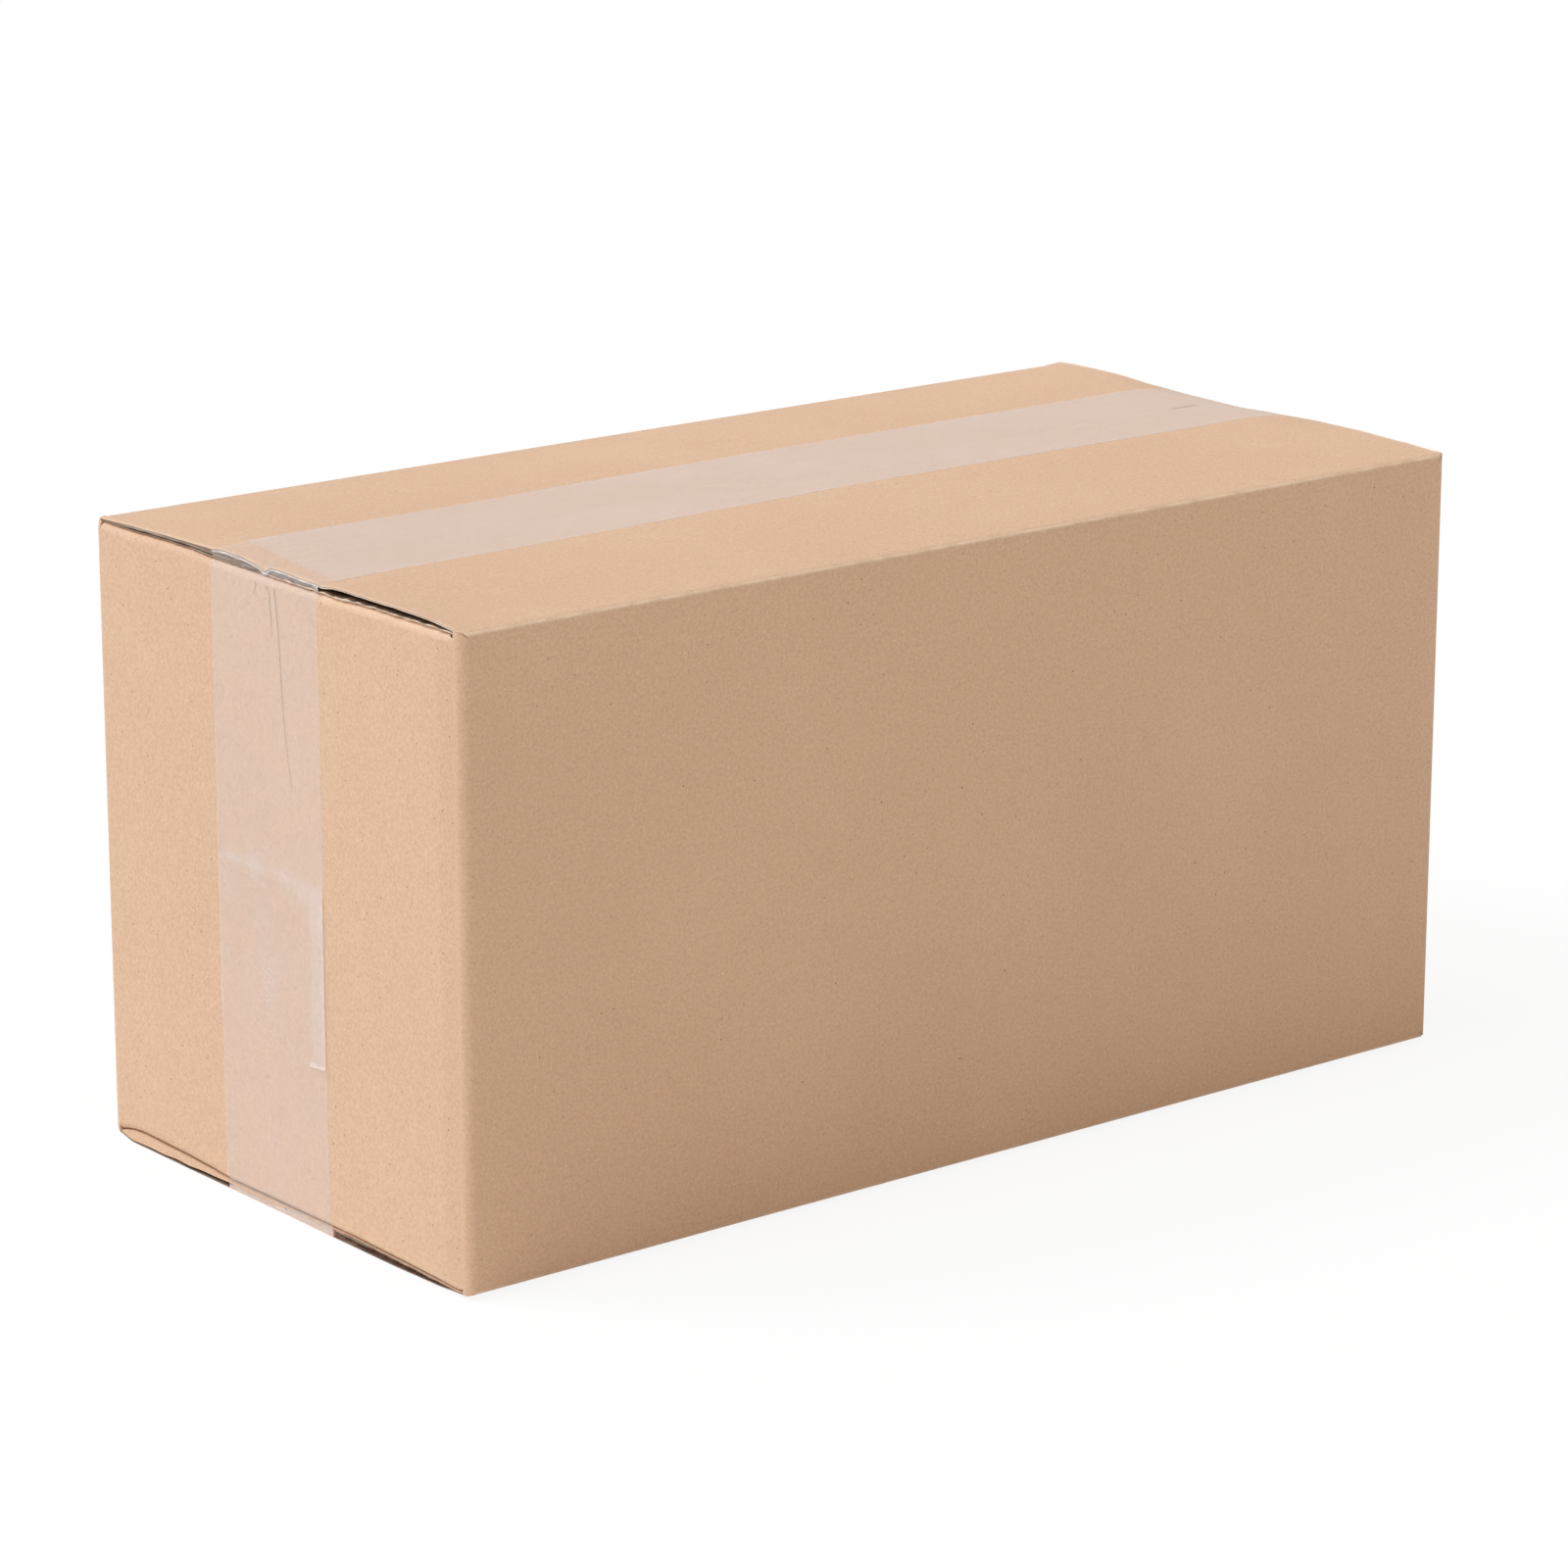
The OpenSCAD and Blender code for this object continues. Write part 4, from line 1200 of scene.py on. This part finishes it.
def make_floor(shade):
    """A wide white floor. The camera sees it mostly lit white, so only a soft part of the shadow stays."""
    size = FLOOR_HALF_SIZE
    corners = [(-size, -size, 0), (size, -size, 0), (size, size, 0), (-size, size, 0)]
    mesh = bpy.data.meshes.new("floor")
    mesh.from_pydata(corners, [], [(0, 1, 2, 3)])
    mesh.update()
    material = bpy.data.materials.new("floor_white")
    material.use_nodes = True
    tree = material.node_tree
    shader = tree.nodes["Principled BSDF"]
    shader.inputs["Base Color"].default_value = (0.91, 0.90, 0.885, 1)
    shader.inputs["Roughness"].default_value = 1.0
    shader.inputs["Specular IOR Level"].default_value = 0.0
    glow = add_node(tree, "ShaderNodeEmission", {"Color": (1, 1, 1, 1), "Strength": 1.0})
    share = times(tree, seen(tree), 1 - shade)
    mixed = add_node(tree, "ShaderNodeMixShader", {0: share, 1: shader.outputs[0], 2: glow.outputs[0]})
    tree.links.new(mixed.outputs[0], tree.nodes["Material Output"].inputs["Surface"])
    mesh.materials.append(material)
    floor = bpy.data.objects.new("floor", mesh)
    bpy.context.scene.collection.objects.link(floor)


def make_lamp(name, towards, strength, soft, colour):
    """A broad sun lamp whose light travels along the given direction."""
    data = bpy.data.lights.new(name, "SUN")
    data.energy = strength
    data.angle = math.radians(soft)
    data.color = colour
    z = -np.array(towards) / np.linalg.norm(towards)
    x = np.cross((0, 0, 1), z)
    x = x / np.linalg.norm(x)
    placed(name, data, (x, np.cross(z, x), z))


# Add-on


class CartonBoardSettings(bpy.types.PropertyGroup):
    """Colour and grain of the board."""

    kraft: bpy.props.FloatVectorProperty(
        name="Kraft", description="Colour of the outer paper", subtype="COLOR", size=3, min=0, max=1,
        default=(0.649, 0.425, 0.283))
    cut_edge: bpy.props.FloatVectorProperty(
        name="Cut edge", description="Colour of the board where it is cut", subtype="COLOR", size=3,
        min=0, max=1, default=(0.34, 0.245, 0.18))
    grain: bpy.props.FloatProperty(
        name="Grain", description="Strength of the paper's mottle", subtype="FACTOR", min=0, max=1,
        default=0.23)


class CartonTapeSettings(bpy.types.PropertyGroup):
    """Finish of the tape."""

    haze: bpy.props.FloatProperty(
        name="Haze", description="Greyness of each of the film's two faces", subtype="FACTOR",
        min=0, max=1, default=0.125)


class CartonStageSettings(bpy.types.PropertyGroup):
    """Light and floor."""

    surroundings: bpy.props.FloatProperty(
        name="Surroundings", description="Strength of the soft light from all round",
        min=0, max=2, default=0.51)
    key: bpy.props.FloatProperty(
        name="Key lamp", description="Strength of the broad lamp from the left", min=0, max=10, default=2.5)
    fill: bpy.props.FloatProperty(
        name="Fill lamp", description="Strength of the faint lamp in front of the side panel",
        min=0, max=10, default=0.21)
    shade: bpy.props.FloatProperty(
        name="Floor shadow", description="Share of the shadow that the camera sees on the floor",
        subtype="FACTOR", min=0, max=1, default=0.10)


class CARTON_OT_walls(bpy.types.Operator):
    """Make the strip of four panels with its upright folds, glued joint and tab"""

    bl_idname = "carton.walls"
    bl_label = "Panels"

    def execute(self, context):
        make_walls(board_materials(context.scene.carton_board))
        return {"FINISHED"}


class CARTON_OT_long_flaps(bpy.types.Operator):
    """Make the four long flaps, which close the top and the bottom and meet at the seam"""

    bl_idname = "carton.long_flaps"
    bl_label = "Long flaps"

    def execute(self, context):
        materials = board_materials(context.scene.carton_board)
        for level in ("top", "bottom"):
            make_long_flap("long_flap_front_" + level, -1, level, materials)
            make_long_flap("long_flap_back_" + level, 1, level, materials)
        return {"FINISHED"}


class CARTON_OT_end_flaps(bpy.types.Operator):
    """Make the four end flaps with the folds of the end panels"""

    bl_idname = "carton.end_flaps"
    bl_label = "End flaps"

    def execute(self, context):
        materials = board_materials(context.scene.carton_board)
        for level in ("top", "bottom"):
            make_end_flap("end_flap_near_" + level, -1, level, materials)
            make_end_flap("end_flap_far_" + level, 1, level, materials)
        return {"FINISHED"}


class CARTON_OT_tape(bpy.types.Operator):
    """Make the turn of clear tape with its lap, wrinkles and air"""

    bl_idname = "carton.tape"
    bl_label = "Tape"

    def execute(self, context):
        make_tape(film_material(context.scene.carton_tape))
        return {"FINISHED"}


class CARTON_OT_stage(bpy.types.Operator):
    """Make the floor, the light and the camera"""

    bl_idname = "carton.stage"
    bl_label = "Stage"

    def execute(self, context):
        settings = context.scene.carton_stage
        make_camera()
        make_world(settings.surroundings)
        make_floor(settings.shade)
        make_lamp("key", (0.42, -0.26, -0.62), settings.key, 50, (0.95, 1.02, 1.105))
        make_lamp("fill", (0.15, 0.98, -0.08), settings.fill, 40, (1.08, 0.96, 0.82))
        context.scene.view_settings.view_transform = "Standard"
        return {"FINISHED"}


class CARTON_PT_panel(bpy.types.Panel):
    """Sidebar list of the carton's pieces and settings"""

    bl_idname = "CARTON_PT_panel"
    bl_label = "Cardboard box"
    bl_space_type = "VIEW_3D"
    bl_region_type = "UI"
    bl_category = "Carton"

    def draw(self, context):
        layout = self.layout
        for group in GROUPS:
            settings = getattr(context.scene, group)
            column = layout.column(align=True)
            for name in settings.bl_rna.properties.keys():
                if name not in ("rna_type", "name"):
                    column.prop(settings, name)
        for operator in STEPS:
            layout.operator(operator.bl_idname)


STEPS = (CARTON_OT_walls, CARTON_OT_long_flaps, CARTON_OT_end_flaps, CARTON_OT_tape, CARTON_OT_stage)
GROUPS = {
    "carton_board": CartonBoardSettings,
    "carton_tape": CartonTapeSettings,
    "carton_stage": CartonStageSettings,
}


def register():
    """Registers the settings, the operators and the panel."""
    for name, group in GROUPS.items():
        bpy.utils.register_class(group)
        setattr(bpy.types.Scene, name, bpy.props.PointerProperty(type=group))
    for operator in (*STEPS, CARTON_PT_panel):
        bpy.utils.register_class(operator)


def unregister():
    """Takes away what register added."""
    for operator in reversed((*STEPS, CARTON_PT_panel)):
        bpy.utils.unregister_class(operator)
    for name, group in GROUPS.items():
        delattr(bpy.types.Scene, name)
        bpy.utils.unregister_class(group)


def main():
    """Builds the carton piece by piece."""
    register()
    bpy.ops.carton.walls()
    bpy.ops.carton.long_flaps()
    bpy.ops.carton.end_flaps()
    bpy.ops.carton.tape()
    bpy.ops.carton.stage()
    bpy.context.view_layer.update()


if __name__ == "__main__":
    main()
